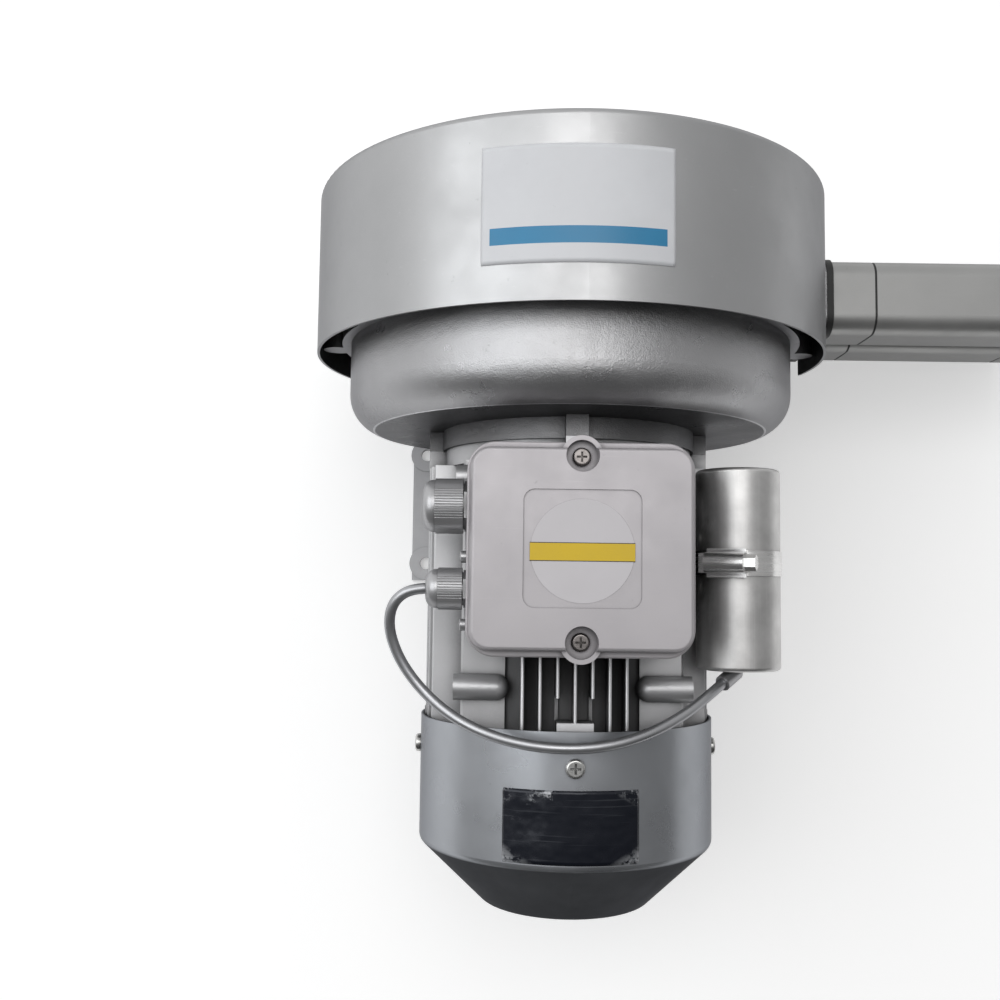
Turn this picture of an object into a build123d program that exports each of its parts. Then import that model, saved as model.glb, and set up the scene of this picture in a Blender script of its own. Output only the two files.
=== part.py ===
"""Side channel blower: an overhung impeller in a split aluminium casing, driven by a flanged
single-phase motor, under a deep drawn drum cover. The shaft runs along Y, with the motor's fan
at the minus Y end. The origin is the centre of the four foot holes, on the floor. Millimetres."""

import os
from math import atan2, cos, degrees, pi, radians, sin, sqrt, tan

from build123d import *

os.makedirs("parts", exist_ok=True)

# General clearances
FIT_GAP = 0.1  # between a bolt or spigot and its hole
RUNNING_GAP = 0.6  # between the impeller's faces and the casing
TIP_GAP = 0.8  # between the impeller's rim and the casing
SEAT_GAP = 0.05  # between parts pressed or slid onto the shaft

# Shaft line
AXIS_HEIGHT = 168.0

# Foot bracket
FOOT_HOLE_X = 197.0
FOOT_HOLE_Y = 84.0
FOOT_HOLE_R = 4.5
FOOT_THICKNESS = 5.0
FOOT_RAIL_OUTER_X = 109.0
FOOT_RAIL_LENGTH = 110.0
FOOT_WALL_X = 85.0
FOOT_WALL_HEIGHT = 96.0
FOOT_WALL_REAR = -46.0
FOOT_FRONT_PLATE = 8.0
FOOT_PAD_R = 12.5
FOOT_PAD_HEIGHT = 1.0
FOOT_NECK_CLEARANCE = 3.0
FOOT_WINDOW_WIDTH = 104.0
FOOT_WINDOW_HEIGHT = 26.0
FOOT_BOLT_ANGLES = (-122.0, -101.0, -79.0, -58.0)
FOOT_BOLT_CIRCLE_R = 100.0

# Casing, front and rear halves around the impeller
CASING_REAR = 36.5
CASING_WALL = 5.2
CASING_ROUND = 15.0
CASING_ROUND_LENGTH = 21.0
CASING_HALF_DEPTH = 64.5
CASING_GASKET = 0.5
FLANGE_WIDTH = 5.5
FLANGE_THICKNESS = 12.0
LUG_ANGLES = (0.0, 60.0, 120.0, 180.0, 240.0)
PORT_LUG_ANGLE = 300.0  # its bolt comes from the rear, because the ports are in front of it
LUG_R = 9.0
LUG_OFFSET = 9.5
CHANNEL_OUTER_R = 130.8
CHANNEL_WIDTH = 46.8
CHANNEL_ROUND = 20.0
CASING_COVER_WALL = 8.4
COVER_POCKET_R = 24.0
COVER_POCKET_DEPTH = 15.4
COVER_BOSS_R = 32.0
COVER_RIB_COUNT = 12
COVER_RIB_THICKNESS = 3.0
STRIPPER_FROM = -41.0
STRIPPER_TO = -31.0
NECK_R = 78.0
NECK_BORE_R = 70.0
NECK_LENGTH = 12.0
HUB_R = 36.0
HUB_REAR_INSET = 3.0
HUB_WALL = 8.4

# Ducts, silencers and ports
DUCT_Y = 137.75
DUCT_WIDTH = 50.0
DUCT_HEIGHT = 50.0
DUCT_CORNER = 12.0
DUCT_WALL = 4.0
DUCT_BORE_CORNER = 18.0
UPPER_DUCT_DROP = 55.0
DUCT_GAP = 3.0
COLLAR_END = 206.0
DUCT_GASKET = 1.5
SILENCER_LENGTH = 115.0
PORT_FLANGE_THICKNESS = 10.0
PORT_HUB_LENGTH = 14.0
PORT_HUB_R = 26.0
PORT_BORE_R = 19.5
FOAM_BORE_R = 16.0
FOAM_GAP = 0.4
FOAM_LENGTH = 105.0
DUCT_SCREW_R = 2.0
DUCT_SCREW_INSET = 6.3
DUCT_SCREW_BITE = 16.0

# Drum cover
DRUM_SHEET = 1.6
DRUM_GAP = 0.5
DRUM_REAR = 82.0
DRUM_FRONT = 180.0
DRUM_CORNER = 3.5
DRUM_DISH_R = 112.0
DRUM_DISH_DEPTH = 3.0
DRUM_CUT_MARGIN = 4.0
DRUM_SCREW_CIRCLE_R = 100.0
DRUM_SCREW_ANGLES = (90.0, 210.0, 330.0)
DRUM_BOSS_R = 8.0
GROMMET_PROUD = 3.0
GROMMET_THICKNESS = 4.0
ROD_HEAD_ROOM = 4.6
LINING_INSET = 5.0

# Impeller
IMPELLER_WIDTH = 35.6
IMPELLER_HUB_R = 22.0
IMPELLER_WEB = 4.6
IMPELLER_DISC = 10.0
IMPELLER_RING_WIDTH = 51.0
BLADE_COUNT = 30
BLADE_THICKNESS = 2.6
BLADE_BOW = 4.0
POCKET_R = 20.0

# Shaft, key and impeller bolt
SHAFT_SEAT_R = 12.0
SHAFT_SEAL_R = 12.3
SHAFT_CORE_R = 17.0
SHAFT_SHOULDER_R = 15.0
SHAFT_FAN_R = 9.0
KEY_WIDTH = 8.0
KEY_HEIGHT = 7.0
KEY_LENGTH = 28.0
KEY_DEPTH = 4.0
WASHER_R = 16.0
WASHER_THICKNESS = 3.0

# Bearings, 25 by 52 by 15
BEARING_BORE_R = 12.5
BEARING_OUTER_R = 26.0
BEARING_WIDTH = 15.0
BEARING_PITCH_R = 19.25
BALL_R = 3.85
BALL_GROOVE_R = 4.0
BALL_COUNT = 8
INNER_RING_R = 17.0
OUTER_RING_BORE_R = 21.5
CAGE_THICKNESS = 1.6
CAGE_WIDTH = 9.6
FRONT_BEARING_REAR = 43.0
SEAL_R = 20.0
SEAL_WIDTH = 7.0
SEAL_BORE_GAP = 0.3

# Motor frame
FRAME_REAR = -141.7
FRAME_R = 69.0
FRAME_BORE_R = 62.0
FIN_TIP_R = 86.0
FIN_PITCH = 9.5
FIN_THICKNESS = 1.9
FIN_ROOT_R = 58.0
FIN_COUNT = 7
SHORT_FIN_REAR = -118.5
PAD_X = 63.0
PAD_Z = 60.0
PAD_INNER = 38.0
SIDE_BOSS_R = 7.3
SIDE_BOSS_FROM = 43.0
SIDE_BOSS_TO = 67.0
SIDE_BOSS_STATIONS = (-115.0, 3.0)
FLANGE_BAR_WIDTH = 12.5
FLANGE_BAR_INNER_R = 66.0
FLANGE_BAR_OUTER_R = 86.0
FLANGE_BAR_LENGTH = 20.0
FLANGE_BOLT_CIRCLE_R = 77.5
REAR_BLOCK_WIDTH = 20.0
REAR_BLOCK_LENGTH = 10.0
PEDESTAL_X = 49.0
PEDESTAL_TOP = 84.0
PEDESTAL_LENGTH = 92.0
SIDE_BOSS_Z = 62.0
FRAME_RING_R = 76.0
FRAME_RING_LENGTH = 11.0
SHIELD_HUB_R = 32.0
SHIELD_LUG_WIDTH = 14.0

# Stator and rotor
STACK_FRONT = -8.0
STACK_LENGTH = 92.0
STACK_BORE_R = 36.5
AIR_GAP = 0.5
SLOT_COUNT = 24
SLOT_WIDTH = 5.0
SLOT_INNER_R = 40.0
SLOT_OUTER_R = 53.0
SLOT_MOUTH = 2.4
COIL_GAP = 0.2
COIL_OVERHANG = 22.0
COIL_STANDOFF = 2.0
END_RING_LENGTH = 8.0
END_RING_INNER_R = 22.0
END_RING_OUTER_R = 35.0

# Rear end shield
SHIELD_RIM = 20.3
SHIELD_WEB = 5.0
SHIELD_BOLT_CIRCLE_R = 78.0
WAVE_WASHER = 1.5
SHIELD_LIP = 3.0

# Cooling fan and cowl
FAN_R = 72.0
FAN_HUB_R = 16.0
FAN_PLATE = 3.0
FAN_BLADES = 9
FAN_BLADE_THICKNESS = 2.2
FAN_BLADE_DEPTH = 28.0
FAN_GAP = 0.5
FAN_HUB_LENGTH = 24.0
CIRCLIP_R = 13.0
CIRCLIP_BORE_R = 8.2
CIRCLIP_THICKNESS = 1.2
COWL_R = 88.6
COWL_SHEET = 1.5
COWL_RIM = -136.0
COWL_SHOULDER = -209.0
COWL_END = -246.0
COWL_END_R = 50.0
COWL_CORNER = 7.0
COWL_SHOULDER_ROUND = 5.0
COWL_SCREW_HEAD_R = 5.4
COWL_SCREW_HEAD = 3.4
COWL_SCREW_STATION = -155.0
GRILLE_SLOTS = 14
GRILLE_SLOT_LENGTH = 24.0
GRILLE_SLOT_WIDTH = 5.0
GRILLE_CIRCLE_R = 31.0

# Terminal box
BOX_Y = -38.8
BOX_WIDTH = 115.0
BOX_DEPTH = 106.0
BOX_CORNER = 13.0
BOX_WALL = 3.5
BOX_HEIGHT = 28.0
BOX_GASKET = 1.5
SIDE_PLUGS = (-43.0, -79.0)
SIDE_PLUG_R = 3.2
SIDE_PLUG_LENGTH = 5.5
LID_RIM_WIDTH = 118.6
LID_RIM_DEPTH = 111.5
LID_RIM_HEIGHT = 4.0
LID_TOP_WIDTH = 112.8
LID_TOP_DEPTH = 102.5
LID_RAISE = 10.5
LID_DRAFT = 1.6
LID_EDGE = 1.6
LID_BOSS_R = 6.0
LID_LOBE_HEIGHT = 9.0
LID_SCREW_R = 2.0
LID_SCREW_HEAD_R = 4.9
LID_SCREW_BITE = 12.0
LID_WALL = 3.0
LID_SCREW_SPACING = 95.5
LID_LOBE_R = 11.0
LID_POCKET_R = 8.6
LID_POCKET_DEPTH = 6.5
LID_PANEL = 60.5
LID_PANEL_CORNER = 6.0
LID_PANEL_DEPTH = 0.7
LEAD_HOLE_R = 13.0
LEAD_HOLE_X = -22.0
BLOCK_X = 22.0
BLOCK_WIDTH = 34.0
BLOCK_DEPTH = 62.0
BLOCK_HEIGHT = 9.0
STUD_R = 2.5
STUD_HEIGHT = 13.0

# Cable glands, on the box's minus X side
GLAND_HEIGHT = 98.5
SUPPLY_GLAND_Y = -16.0
SUPPLY_GLAND_R = 14.8
SUPPLY_CABLE_R = 6.0
SUPPLY_THREAD_R = 8.6
CAPACITOR_GLAND_Y = -60.0
CAPACITOR_GLAND_R = 11.2
CAPACITOR_THREAD_R = 7.0
GLAND_COLLAR = 3.5
GLAND_NUT_GAP = 0.6
SUPPLY_NUT_LENGTH = 14.8
CAPACITOR_NUT_LENGTH = 12.8
GLAND_DOME_LENGTH = 6.7
GLAND_DOME_STEP = 0.8
RIB_SECTOR = 66.0
RIB_SPACING = 1.4
RIB_DEPTH = 0.45
GLAND_NUT_WALL = 2.5
GLAND_SLEEVE = 3.0
GLAND_BODY_INSET = 2.0
GLAND_SEAT_DEPTH = 4.0
GLAND_MOUTH_GAP = 0.4
GLAND_HEX_INSET = 1.2
GLAND_LOCKNUT = 4.0
GLAND_LOCKNUT_RIM = 2.2

# Capacitor and its clamp
CAPACITOR_X = 94.6
CAPACITOR_RISE = 56.0
CAPACITOR_R = 23.8
CAPACITOR_REAR = -104.0
CAPACITOR_LENGTH = 113.5
CAPACITOR_CAP = 9.0
CAPACITOR_LIP = 2.6
CAPACITOR_WALL = 1.2
NOZZLE_LENGTH = 14.0
NOZZLE_WALL = 1.6
CAP_RECESS = 0.6
CLAMP_STATION = -44.0
BAND_WIDTH = 14.0
BAND_THICKNESS = 0.9
BAND_TAIL = 5.0
BAND_SLOTS = 9
BAND_SLOT_START = 32.0
BAND_SLOT_PITCH = 4.4
BAND_SLOT_LENGTH = 8.0
BAND_SLOT_WIDTH = 0.9
BRACKET_LENGTH = 40.0
BRACKET_PLATE = 2.0
BRACKET_DEPTH = 16.0
BRACKET_HEIGHT = 34.0
SADDLE_DROP = 8.0
CLAMP_TILT = 26.0
WORM_R = 4.2
WORM_LENGTH = 22.0
WORM_WALL = 1.2
WORM_HEAD_R = 4.0
WORM_HEAD_LENGTH = 6.5

# Capacitor lead, from the lower gland round to the capacitor's end
CABLE_R = 2.9
BEND_SHARE = 0.45
CABLE_POINTS = [
    (-81.1, -60.0, 266.5),
    (-86.5, -60.4, 266.2),
    (-93.0, -62.6, 265.2),
    (-98.4, -67.8, 263.0),
    (-101.0, -76.0, 259.8),
    (-100.0, -87.0, 256.4),
    (-94.0, -101.0, 254.0),
    (-83.0, -115.0, 254.0),
    (-68.0, -127.5, 257.5),
    (-49.0, -136.5, 263.0),
    (-27.0, -141.8, 267.2),
    (-4.0, -143.4, 268.6),
    (19.0, -141.4, 267.0),
    (40.0, -135.5, 261.2),
    (59.0, -127.0, 251.0),
    (73.5, -118.5, 239.5),
    (84.5, -111.4, 229.8),
]

# Fasteners, with the cross recess as shares of a round head's size
HEAD_ROUND = 0.45
CROSS_LENGTH = 1.1
CROSS_WIDTH = 0.24
CROSS_DEPTH = 0.6
CASING_BOLT_R = 3.0
CASING_BOLT_BITE = 10.5
CASING_BOLT_HEAD_R = 5.0
CASING_BOLT_HEAD = 4.2
MOTOR_BOLT_R = 3.0
MOTOR_BOLT_BITE = 18.0
FOOT_BOLT_R = 4.0
FOOT_BOLT_BITE = 7.0
FOOT_BOLT_HEAD_R = 6.5
FOOT_BOLT_HEAD = 5.3
DRUM_SCREW_R = 2.5
DRUM_SCREW_BITE = 9.0
DRUM_SCREW_HEAD_R = 4.8
IMPELLER_BOLT_R = 5.0
IMPELLER_BOLT_LENGTH = 25.0
PULLER_CIRCLE_R = 50.0
PULLER_HOLES = 6
PULLER_HOLE_R = 9.0
POCKET_OFFSET = 4.5
SHIELD_BOLT_R = 2.5
SHIELD_BOLT_BITE = 9.0
COWL_SCREW_R = 2.5
COWL_SCREW_BITE = 9.0
BOX_SCREW_R = 2.0
BOX_SCREW_BITE = 8.0
BOX_SCREW_X = 80.0
BOX_SCREW_Y = 70.0
BRACKET_SCREW_R = 2.5
BRACKET_SCREW_BITE = 12.0
BRACKET_SCREW_HEAD_R = 4.4
BRACKET_SCREW_Y = 14.0
BRACKET_SCREW_DROP = 1.0
BOLT_HEAD_ROOM = 6.0
PORT_FACE = 174.0
UPPER_PORT_START = 106.0
LOWER_PORT_START = 26.0
PORT_END_WALL = 6.0

# Places worked out from the sizes above
CASING_R = CHANNEL_OUTER_R + CASING_WALL
CASING_EDGE_R = CASING_R - CASING_ROUND
CHANNEL_INNER_R = CHANNEL_OUTER_R - CHANNEL_WIDTH
IMPELLER_R = CHANNEL_OUTER_R - TIP_GAP
IMPELLER_RING_INNER_R = IMPELLER_R - IMPELLER_RING_WIDTH
FLANGE_R = CASING_R + FLANGE_WIDTH
LUG_CIRCLE_R = CASING_R + LUG_OFFSET
DRUM_R = LUG_CIRCLE_R + LUG_R + DRUM_GAP + DRUM_SHEET
SPLIT = CASING_REAR + CASING_HALF_DEPTH
COVER_START = SPLIT + CASING_GASKET
IMPELLER_MID = SPLIT + CASING_GASKET / 2
CHAMBER_REAR = IMPELLER_MID - IMPELLER_WIDTH / 2 - RUNNING_GAP
CHAMBER_FRONT = IMPELLER_MID + IMPELLER_WIDTH / 2 + RUNNING_GAP
CASING_FRONT = COVER_START + CASING_HALF_DEPTH
FRAME_FRONT = CASING_REAR - NECK_LENGTH
UPPER_DUCT_Z = AXIS_HEIGHT - UPPER_DUCT_DROP
LOWER_DUCT_Z = UPPER_DUCT_Z - DUCT_HEIGHT - DUCT_GAP
BOX_FLOOR = AXIS_HEIGHT + PEDESTAL_TOP
BOX_RIM = BOX_FLOOR + BOX_HEIGHT
LID_BASE = BOX_RIM + BOX_GASKET
LID_TOP = LID_BASE + LID_RIM_HEIGHT + LID_RAISE

FRONT_BEARING_FRONT = FRONT_BEARING_REAR + BEARING_WIDTH
SEAL_REAR = CHAMBER_REAR - SEAL_WIDTH - 1.0
DRUM_SEAT = DRUM_FRONT - DRUM_DISH_DEPTH - DRUM_SHEET
ROD_SPACING_Y = DUCT_WIDTH - 2 * DUCT_SCREW_INSET
ROD_SPACING_Z = DUCT_HEIGHT - 2 * DUCT_SCREW_INSET
KEY_MID = IMPELLER_MID
BOLT_SEAT = IMPELLER_MID + IMPELLER_WIDTH / 2 + WASHER_THICKNESS
SHAFT_FRONT = IMPELLER_MID + IMPELLER_WIDTH / 2 - 1.0
CORE_FRONT = STACK_FRONT
CORE_REAR = STACK_FRONT - STACK_LENGTH
RING_FRONT = CORE_FRONT + END_RING_LENGTH
COIL_FRONT = CORE_FRONT + COIL_STANDOFF + COIL_OVERHANG
COIL_MID_R = (SLOT_INNER_R + SLOT_OUTER_R) / 2
SHIELD_STOP = FRAME_REAR - SHIELD_RIM + 2.0
REAR_BEARING_FRONT = SHIELD_STOP + WAVE_WASHER + BEARING_WIDTH
FAN_SEAT_FRONT = FRAME_REAR - SHIELD_RIM - 1.0
FAN_HUB_REAR = FAN_SEAT_FRONT - FAN_GAP - FAN_HUB_LENGTH
SHAFT_REAR = FAN_HUB_REAR - 5.0
BEARING_REARS = (FRONT_BEARING_REAR, REAR_BEARING_FRONT - BEARING_WIDTH)
CAPACITOR_Z = AXIS_HEIGHT + CAPACITOR_RISE
CAPACITOR_FRONT = CAPACITOR_REAR + CAPACITOR_LENGTH
TAIL_TOP = CAPACITOR_R + 1.7 * BAND_THICKNESS
WORM_RISE = TAIL_TOP + WORM_R + 0.3
GLAND_Z = AXIS_HEIGHT + GLAND_HEIGHT
GLANDS = (
    (SUPPLY_GLAND_Y, SUPPLY_THREAD_R, SUPPLY_GLAND_R, SUPPLY_NUT_LENGTH, SUPPLY_CABLE_R),
    (CAPACITOR_GLAND_Y, CAPACITOR_THREAD_R, CAPACITOR_GLAND_R, CAPACITOR_NUT_LENGTH, CABLE_R),
)
WALL_FACE = -BOX_WIDTH / 2
NUT_START = WALL_FACE - GLAND_COLLAR - GLAND_NUT_GAP
GLAND_THREAD_END = WALL_FACE + BOX_WALL + GLAND_LOCKNUT + 1.0
LID_SEAT = LID_BASE + LID_RIM_HEIGHT
COLLAR_START = PORT_FACE + GROMMET_THICKNESS
SILENCER_START = COLLAR_END + DUCT_GASKET
FLANGE_START = SILENCER_START + SILENCER_LENGTH + DUCT_GASKET
ROD_LENGTH = FLANGE_START + PORT_FLANGE_THICKNESS - PORT_FACE + DUCT_SCREW_BITE - 1.0

DUCT_LEVELS = (UPPER_DUCT_Z, LOWER_DUCT_Z)
CABLE_ROUTE = [Vector(*point) for point in CABLE_POINTS]
CABLE_RUNS = [end - start for start, end in zip(CABLE_ROUTE, CABLE_ROUTE[1:])]
CABLE_BENDS = [
    BEND_SHARE * min(before.length, after.length) / tan(radians(before.get_angle(after)) / 2)
    for before, after in zip(CABLE_RUNS, CABLE_RUNS[1:])
]

SHAFT_AXIS = Axis((0, 0, AXIS_HEIGHT), (0, 1, 0))
SHAFT_PLANE = Plane(origin=(0, 0, AXIS_HEIGHT), x_dir=(0, 1, 0), z_dir=(1, 0, 0))
CABLE_TAIL_PLANE = Plane(origin=CABLE_ROUTE[-1], z_dir=CABLE_RUNS[-1])
CLAMP_PLANE = Plane(
    origin=(CAPACITOR_X, CLAMP_STATION, CAPACITOR_Z),
    x_dir=(cos(radians(CLAMP_TILT)), 0, sin(radians(CLAMP_TILT))),
    z_dir=(-sin(radians(CLAMP_TILT)), 0, cos(radians(CLAMP_TILT))),
)


def across(station, x=0.0, z=AXIS_HEIGHT):
    """Plane across the shaft at a station, drawn in X and Z, whose normal points to minus Y."""
    return Plane(origin=(x, station, z), x_dir=(1, 0, 0), z_dir=(0, -1, 0))


def sideways(x, y, z):
    """Plane facing plus X at a point, drawn in Y and Z."""
    return Plane(origin=(x, y, z), x_dir=(0, 1, 0), z_dir=(1, 0, 0))


def radial_plane(station, radius, angle, x=0.0, z=AXIS_HEIGHT):
    """Plane at a point round an axis along Y, which is the shaft's if not given, facing outward."""
    direction = (cos(angle), 0, sin(angle))
    centre = (x + radius * direction[0], station, z + radius * direction[2])
    return Plane(origin=centre, x_dir=(0, 1, 0), z_dir=direction)


def cowl_screw_plane(turn, radius):
    """Plane at one of the cowl's four screws, facing away from the shaft."""
    return radial_plane(COWL_SCREW_STATION, radius, pi / 2 * turn)


def facing_along(direction, station, radius, angle):
    """Plane at a place round the shaft in degrees, facing the front for 1 or the rear for -1."""
    x = radius * cos(radians(angle))
    z = AXIS_HEIGHT + radius * sin(radians(angle))
    return Plane(origin=(x, station, z), z_dir=(0, direction, 0))


def worm_plane(along):
    """Plane across the clamp's worm, drawn along the shaft and away from the capacitor."""
    centre = CLAMP_PLANE.from_local_coords((along, 0, WORM_RISE))
    return Plane(origin=centre, x_dir=(0, 1, 0), z_dir=CLAMP_PLANE.x_dir)


def turned(*corners, mode=Mode.ADD):
    """Turns a closed outline of (station, radius) corners about the shaft."""
    with BuildSketch(SHAFT_PLANE) as outline:
        with BuildLine():
            Polyline(*corners, close=True)
        make_face()
    revolve(outline.sketch, axis=SHAFT_AXIS, mode=mode)


def tube_between(rear, front, outer_r, inner_r, mode=Mode.ADD):
    """A plain ring on the shaft line."""
    turned((rear, inner_r), (rear, outer_r), (front, outer_r), (front, inner_r), mode=mode)


def save(piece, name):
    """Labels a finished piece and writes its STEP file."""
    piece.part.label = name
    export_step(piece.part, f"parts/{name}.step")


def screw(shank_r, shank_length, head_r, head_height, hexagonal=True):
    """A screw pointing to minus Z with its head's underside at the origin. Its head is hexagonal,
    or round with a cross recess."""
    with BuildPart() as made:
        with BuildSketch():
            if hexagonal:
                RegularPolygon(head_r, 6, major_radius=False)
            else:
                Circle(head_r)
        extrude(amount=head_height)
        if not hexagonal:
            fillet(made.edges().group_by(Axis.Z)[-1], HEAD_ROUND * head_height)
            with Locations((0, 0, head_height)):
                for turn in (0, 90):
                    Box(
                        CROSS_LENGTH * head_r,
                        CROSS_WIDTH * head_r,
                        2 * CROSS_DEPTH * head_height,
                        rotation=(0, 0, turn),
                        mode=Mode.SUBTRACT,
                    )
        with BuildSketch():
            Circle(shank_r)
        extrude(amount=-shank_length)
    return made.part


def rounded_block(base, height, width, depth, corner, centre=(0, 0), mode=Mode.ADD):
    """An upright rounded rectangle block standing on a level."""
    with BuildSketch(Plane.XY.offset(base)) as plan:
        with Locations(centre):
            RectangleRounded(width, depth, corner)
    extrude(plan.sketch, amount=height, mode=mode)


def duct_section(station, length, centre_z, inner=True, grow=0.0, mode=Mode.ADD):
    """A length of the rounded rectangular duct along X, with its bore and tie rod holes if asked."""
    with BuildSketch(sideways(station, DUCT_Y, centre_z)) as section:
        RectangleRounded(DUCT_WIDTH + 2 * grow, DUCT_HEIGHT + 2 * grow, DUCT_CORNER + grow)
        if inner:
            RectangleRounded(
                DUCT_WIDTH - 2 * DUCT_WALL,
                DUCT_HEIGHT - 2 * DUCT_WALL,
                DUCT_BORE_CORNER,
                mode=Mode.SUBTRACT,
            )
            with GridLocations(ROD_SPACING_Y, ROD_SPACING_Z, 2, 2):
                Circle(DUCT_SCREW_R + FIT_GAP, mode=Mode.SUBTRACT)
    extrude(section.sketch, amount=length, mode=mode)


def duct_bore(start, end, centre_z, mode=Mode.SUBTRACT):
    """The duct's air passage on its own, along X."""
    with BuildSketch(sideways(start, DUCT_Y, centre_z)) as passage:
        RectangleRounded(
            DUCT_WIDTH - 2 * DUCT_WALL, DUCT_HEIGHT - 2 * DUCT_WALL, DUCT_BORE_CORNER
        )
    extrude(passage.sketch, amount=end - start, mode=mode)


def casing_shell(face, split):
    """One casing half: rounded body, bolting flange with lugs, impeller chamber and side channel."""
    step = 1 if split > face else -1
    channel_end = face + step * CASING_COVER_WALL
    chamber = IMPELLER_MID - step * (IMPELLER_WIDTH / 2 + RUNNING_GAP)
    with BuildSketch(SHAFT_PLANE) as body:
        with BuildLine():
            edge = (face, CASING_EDGE_R)
            shoulder = (face + step * CASING_ROUND_LENGTH, CASING_R)
            Polyline(edge, (face, 0), (split, 0), (split, CASING_R), shoulder)
            TangentArc(shoulder, edge, tangent=(-step, 0))
        make_face()
    revolve(body.sketch, axis=SHAFT_AXIS)
    with BuildSketch(across(split)) as flange:
        Circle(FLANGE_R)
        for angle in (*LUG_ANGLES, PORT_LUG_ANGLE):
            with PolarLocations(LUG_CIRCLE_R, 1, start_angle=angle):
                Circle(LUG_R)
    extrude(flange.sketch, amount=step * FLANGE_THICKNESS)
    turned(
        (chamber, 0),
        (chamber, CHANNEL_OUTER_R),
        (split, CHANNEL_OUTER_R),
        (split, 0),
        mode=Mode.SUBTRACT,
    )
    with BuildSketch(SHAFT_PLANE) as channel:
        with BuildLine():
            Polyline(
                (channel_end, CHANNEL_INNER_R),
                (channel_end, CHANNEL_OUTER_R),
                (chamber, CHANNEL_OUTER_R),
                (chamber, CHANNEL_INNER_R),
                close=True,
            )
        make_face()
        fillet(
            [
                channel.vertices().sort_by_distance((channel_end, CHANNEL_INNER_R))[0],
                channel.vertices().sort_by_distance((channel_end, CHANNEL_OUTER_R))[0],
            ],
            CHANNEL_ROUND,
        )
    revolve(channel.sketch, axis=SHAFT_AXIS, mode=Mode.SUBTRACT)
    reach = 2 * CHANNEL_OUTER_R
    with BuildSketch(across(chamber)) as stripper:
        Circle(CHANNEL_OUTER_R)
        Circle(CHANNEL_INNER_R, mode=Mode.SUBTRACT)
        with BuildLine():
            Polyline(
                (0, 0),
                (reach * cos(radians(STRIPPER_FROM)), reach * sin(radians(STRIPPER_FROM))),
                (reach * cos(radians(STRIPPER_TO)), reach * sin(radians(STRIPPER_TO))),
                close=True,
            )
        make_face(mode=Mode.INTERSECT)
    extrude(stripper.sketch, amount=step * abs(channel_end - chamber))


# Rear casing half, with the bearing hub and the neck that the motor bolts to
with BuildPart() as casing_rear:
    casing_shell(CASING_REAR, SPLIT)
    hub_rear = CASING_REAR + HUB_REAR_INSET
    cavity_end = CHAMBER_REAR - HUB_WALL
    tube_between(FRAME_FRONT, CASING_REAR + HUB_WALL, NECK_R, NECK_BORE_R)
    with BuildSketch(across(CASING_REAR)):
        with PolarLocations((FLANGE_BAR_INNER_R + FLANGE_BAR_OUTER_R) / 2, 4):
            Rectangle(FLANGE_BAR_OUTER_R - FLANGE_BAR_INNER_R, FLANGE_BAR_WIDTH)
    extrude(amount=NECK_LENGTH)
    tube_between(FRAME_FRONT, cavity_end, NECK_BORE_R, HUB_R, mode=Mode.SUBTRACT)
    tube_between(FRAME_FRONT, hub_rear, HUB_R, 0, mode=Mode.SUBTRACT)
    with BuildSketch(across(cavity_end)):
        with PolarLocations((HUB_R + NECK_BORE_R) / 2, 6, start_angle=30):
            Rectangle(NECK_BORE_R - HUB_R + 2, 4)
    extrude(amount=cavity_end - CASING_REAR - HUB_WALL)
    tube_between(hub_rear, FRONT_BEARING_FRONT, BEARING_OUTER_R + SEAT_GAP, 0, mode=Mode.SUBTRACT)
    tube_between(FRONT_BEARING_FRONT, SEAL_REAR, OUTER_RING_BORE_R, 0, mode=Mode.SUBTRACT)
    tube_between(SEAL_REAR, CHAMBER_REAR, SEAL_R + SEAT_GAP, 0, mode=Mode.SUBTRACT)
    with BuildSketch(across(SPLIT)):
        for angle in LUG_ANGLES:
            with PolarLocations(LUG_CIRCLE_R, 1, start_angle=angle):
                Circle(CASING_BOLT_R + SEAT_GAP)
    extrude(amount=CASING_BOLT_BITE, mode=Mode.SUBTRACT)
    with BuildSketch(across(SPLIT)):
        with PolarLocations(LUG_CIRCLE_R, 1, start_angle=PORT_LUG_ANGLE):
            Circle(CASING_BOLT_R + FIT_GAP)
    extrude(amount=FLANGE_THICKNESS, mode=Mode.SUBTRACT)
    with BuildSketch(across(FRAME_FRONT)):
        with PolarLocations(FLANGE_BOLT_CIRCLE_R, 4):
            Circle(MOTOR_BOLT_R + SEAT_GAP)
    extrude(amount=-MOTOR_BOLT_BITE, mode=Mode.SUBTRACT)
    with BuildSketch(across(CASING_REAR)):
        for angle in FOOT_BOLT_ANGLES:
            with PolarLocations(FOOT_BOLT_CIRCLE_R, 1, start_angle=angle):
                Circle(FOOT_BOLT_R + SEAT_GAP)
    extrude(amount=-FOOT_BOLT_BITE, mode=Mode.SUBTRACT)
save(casing_rear, "casing_rear")

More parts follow.
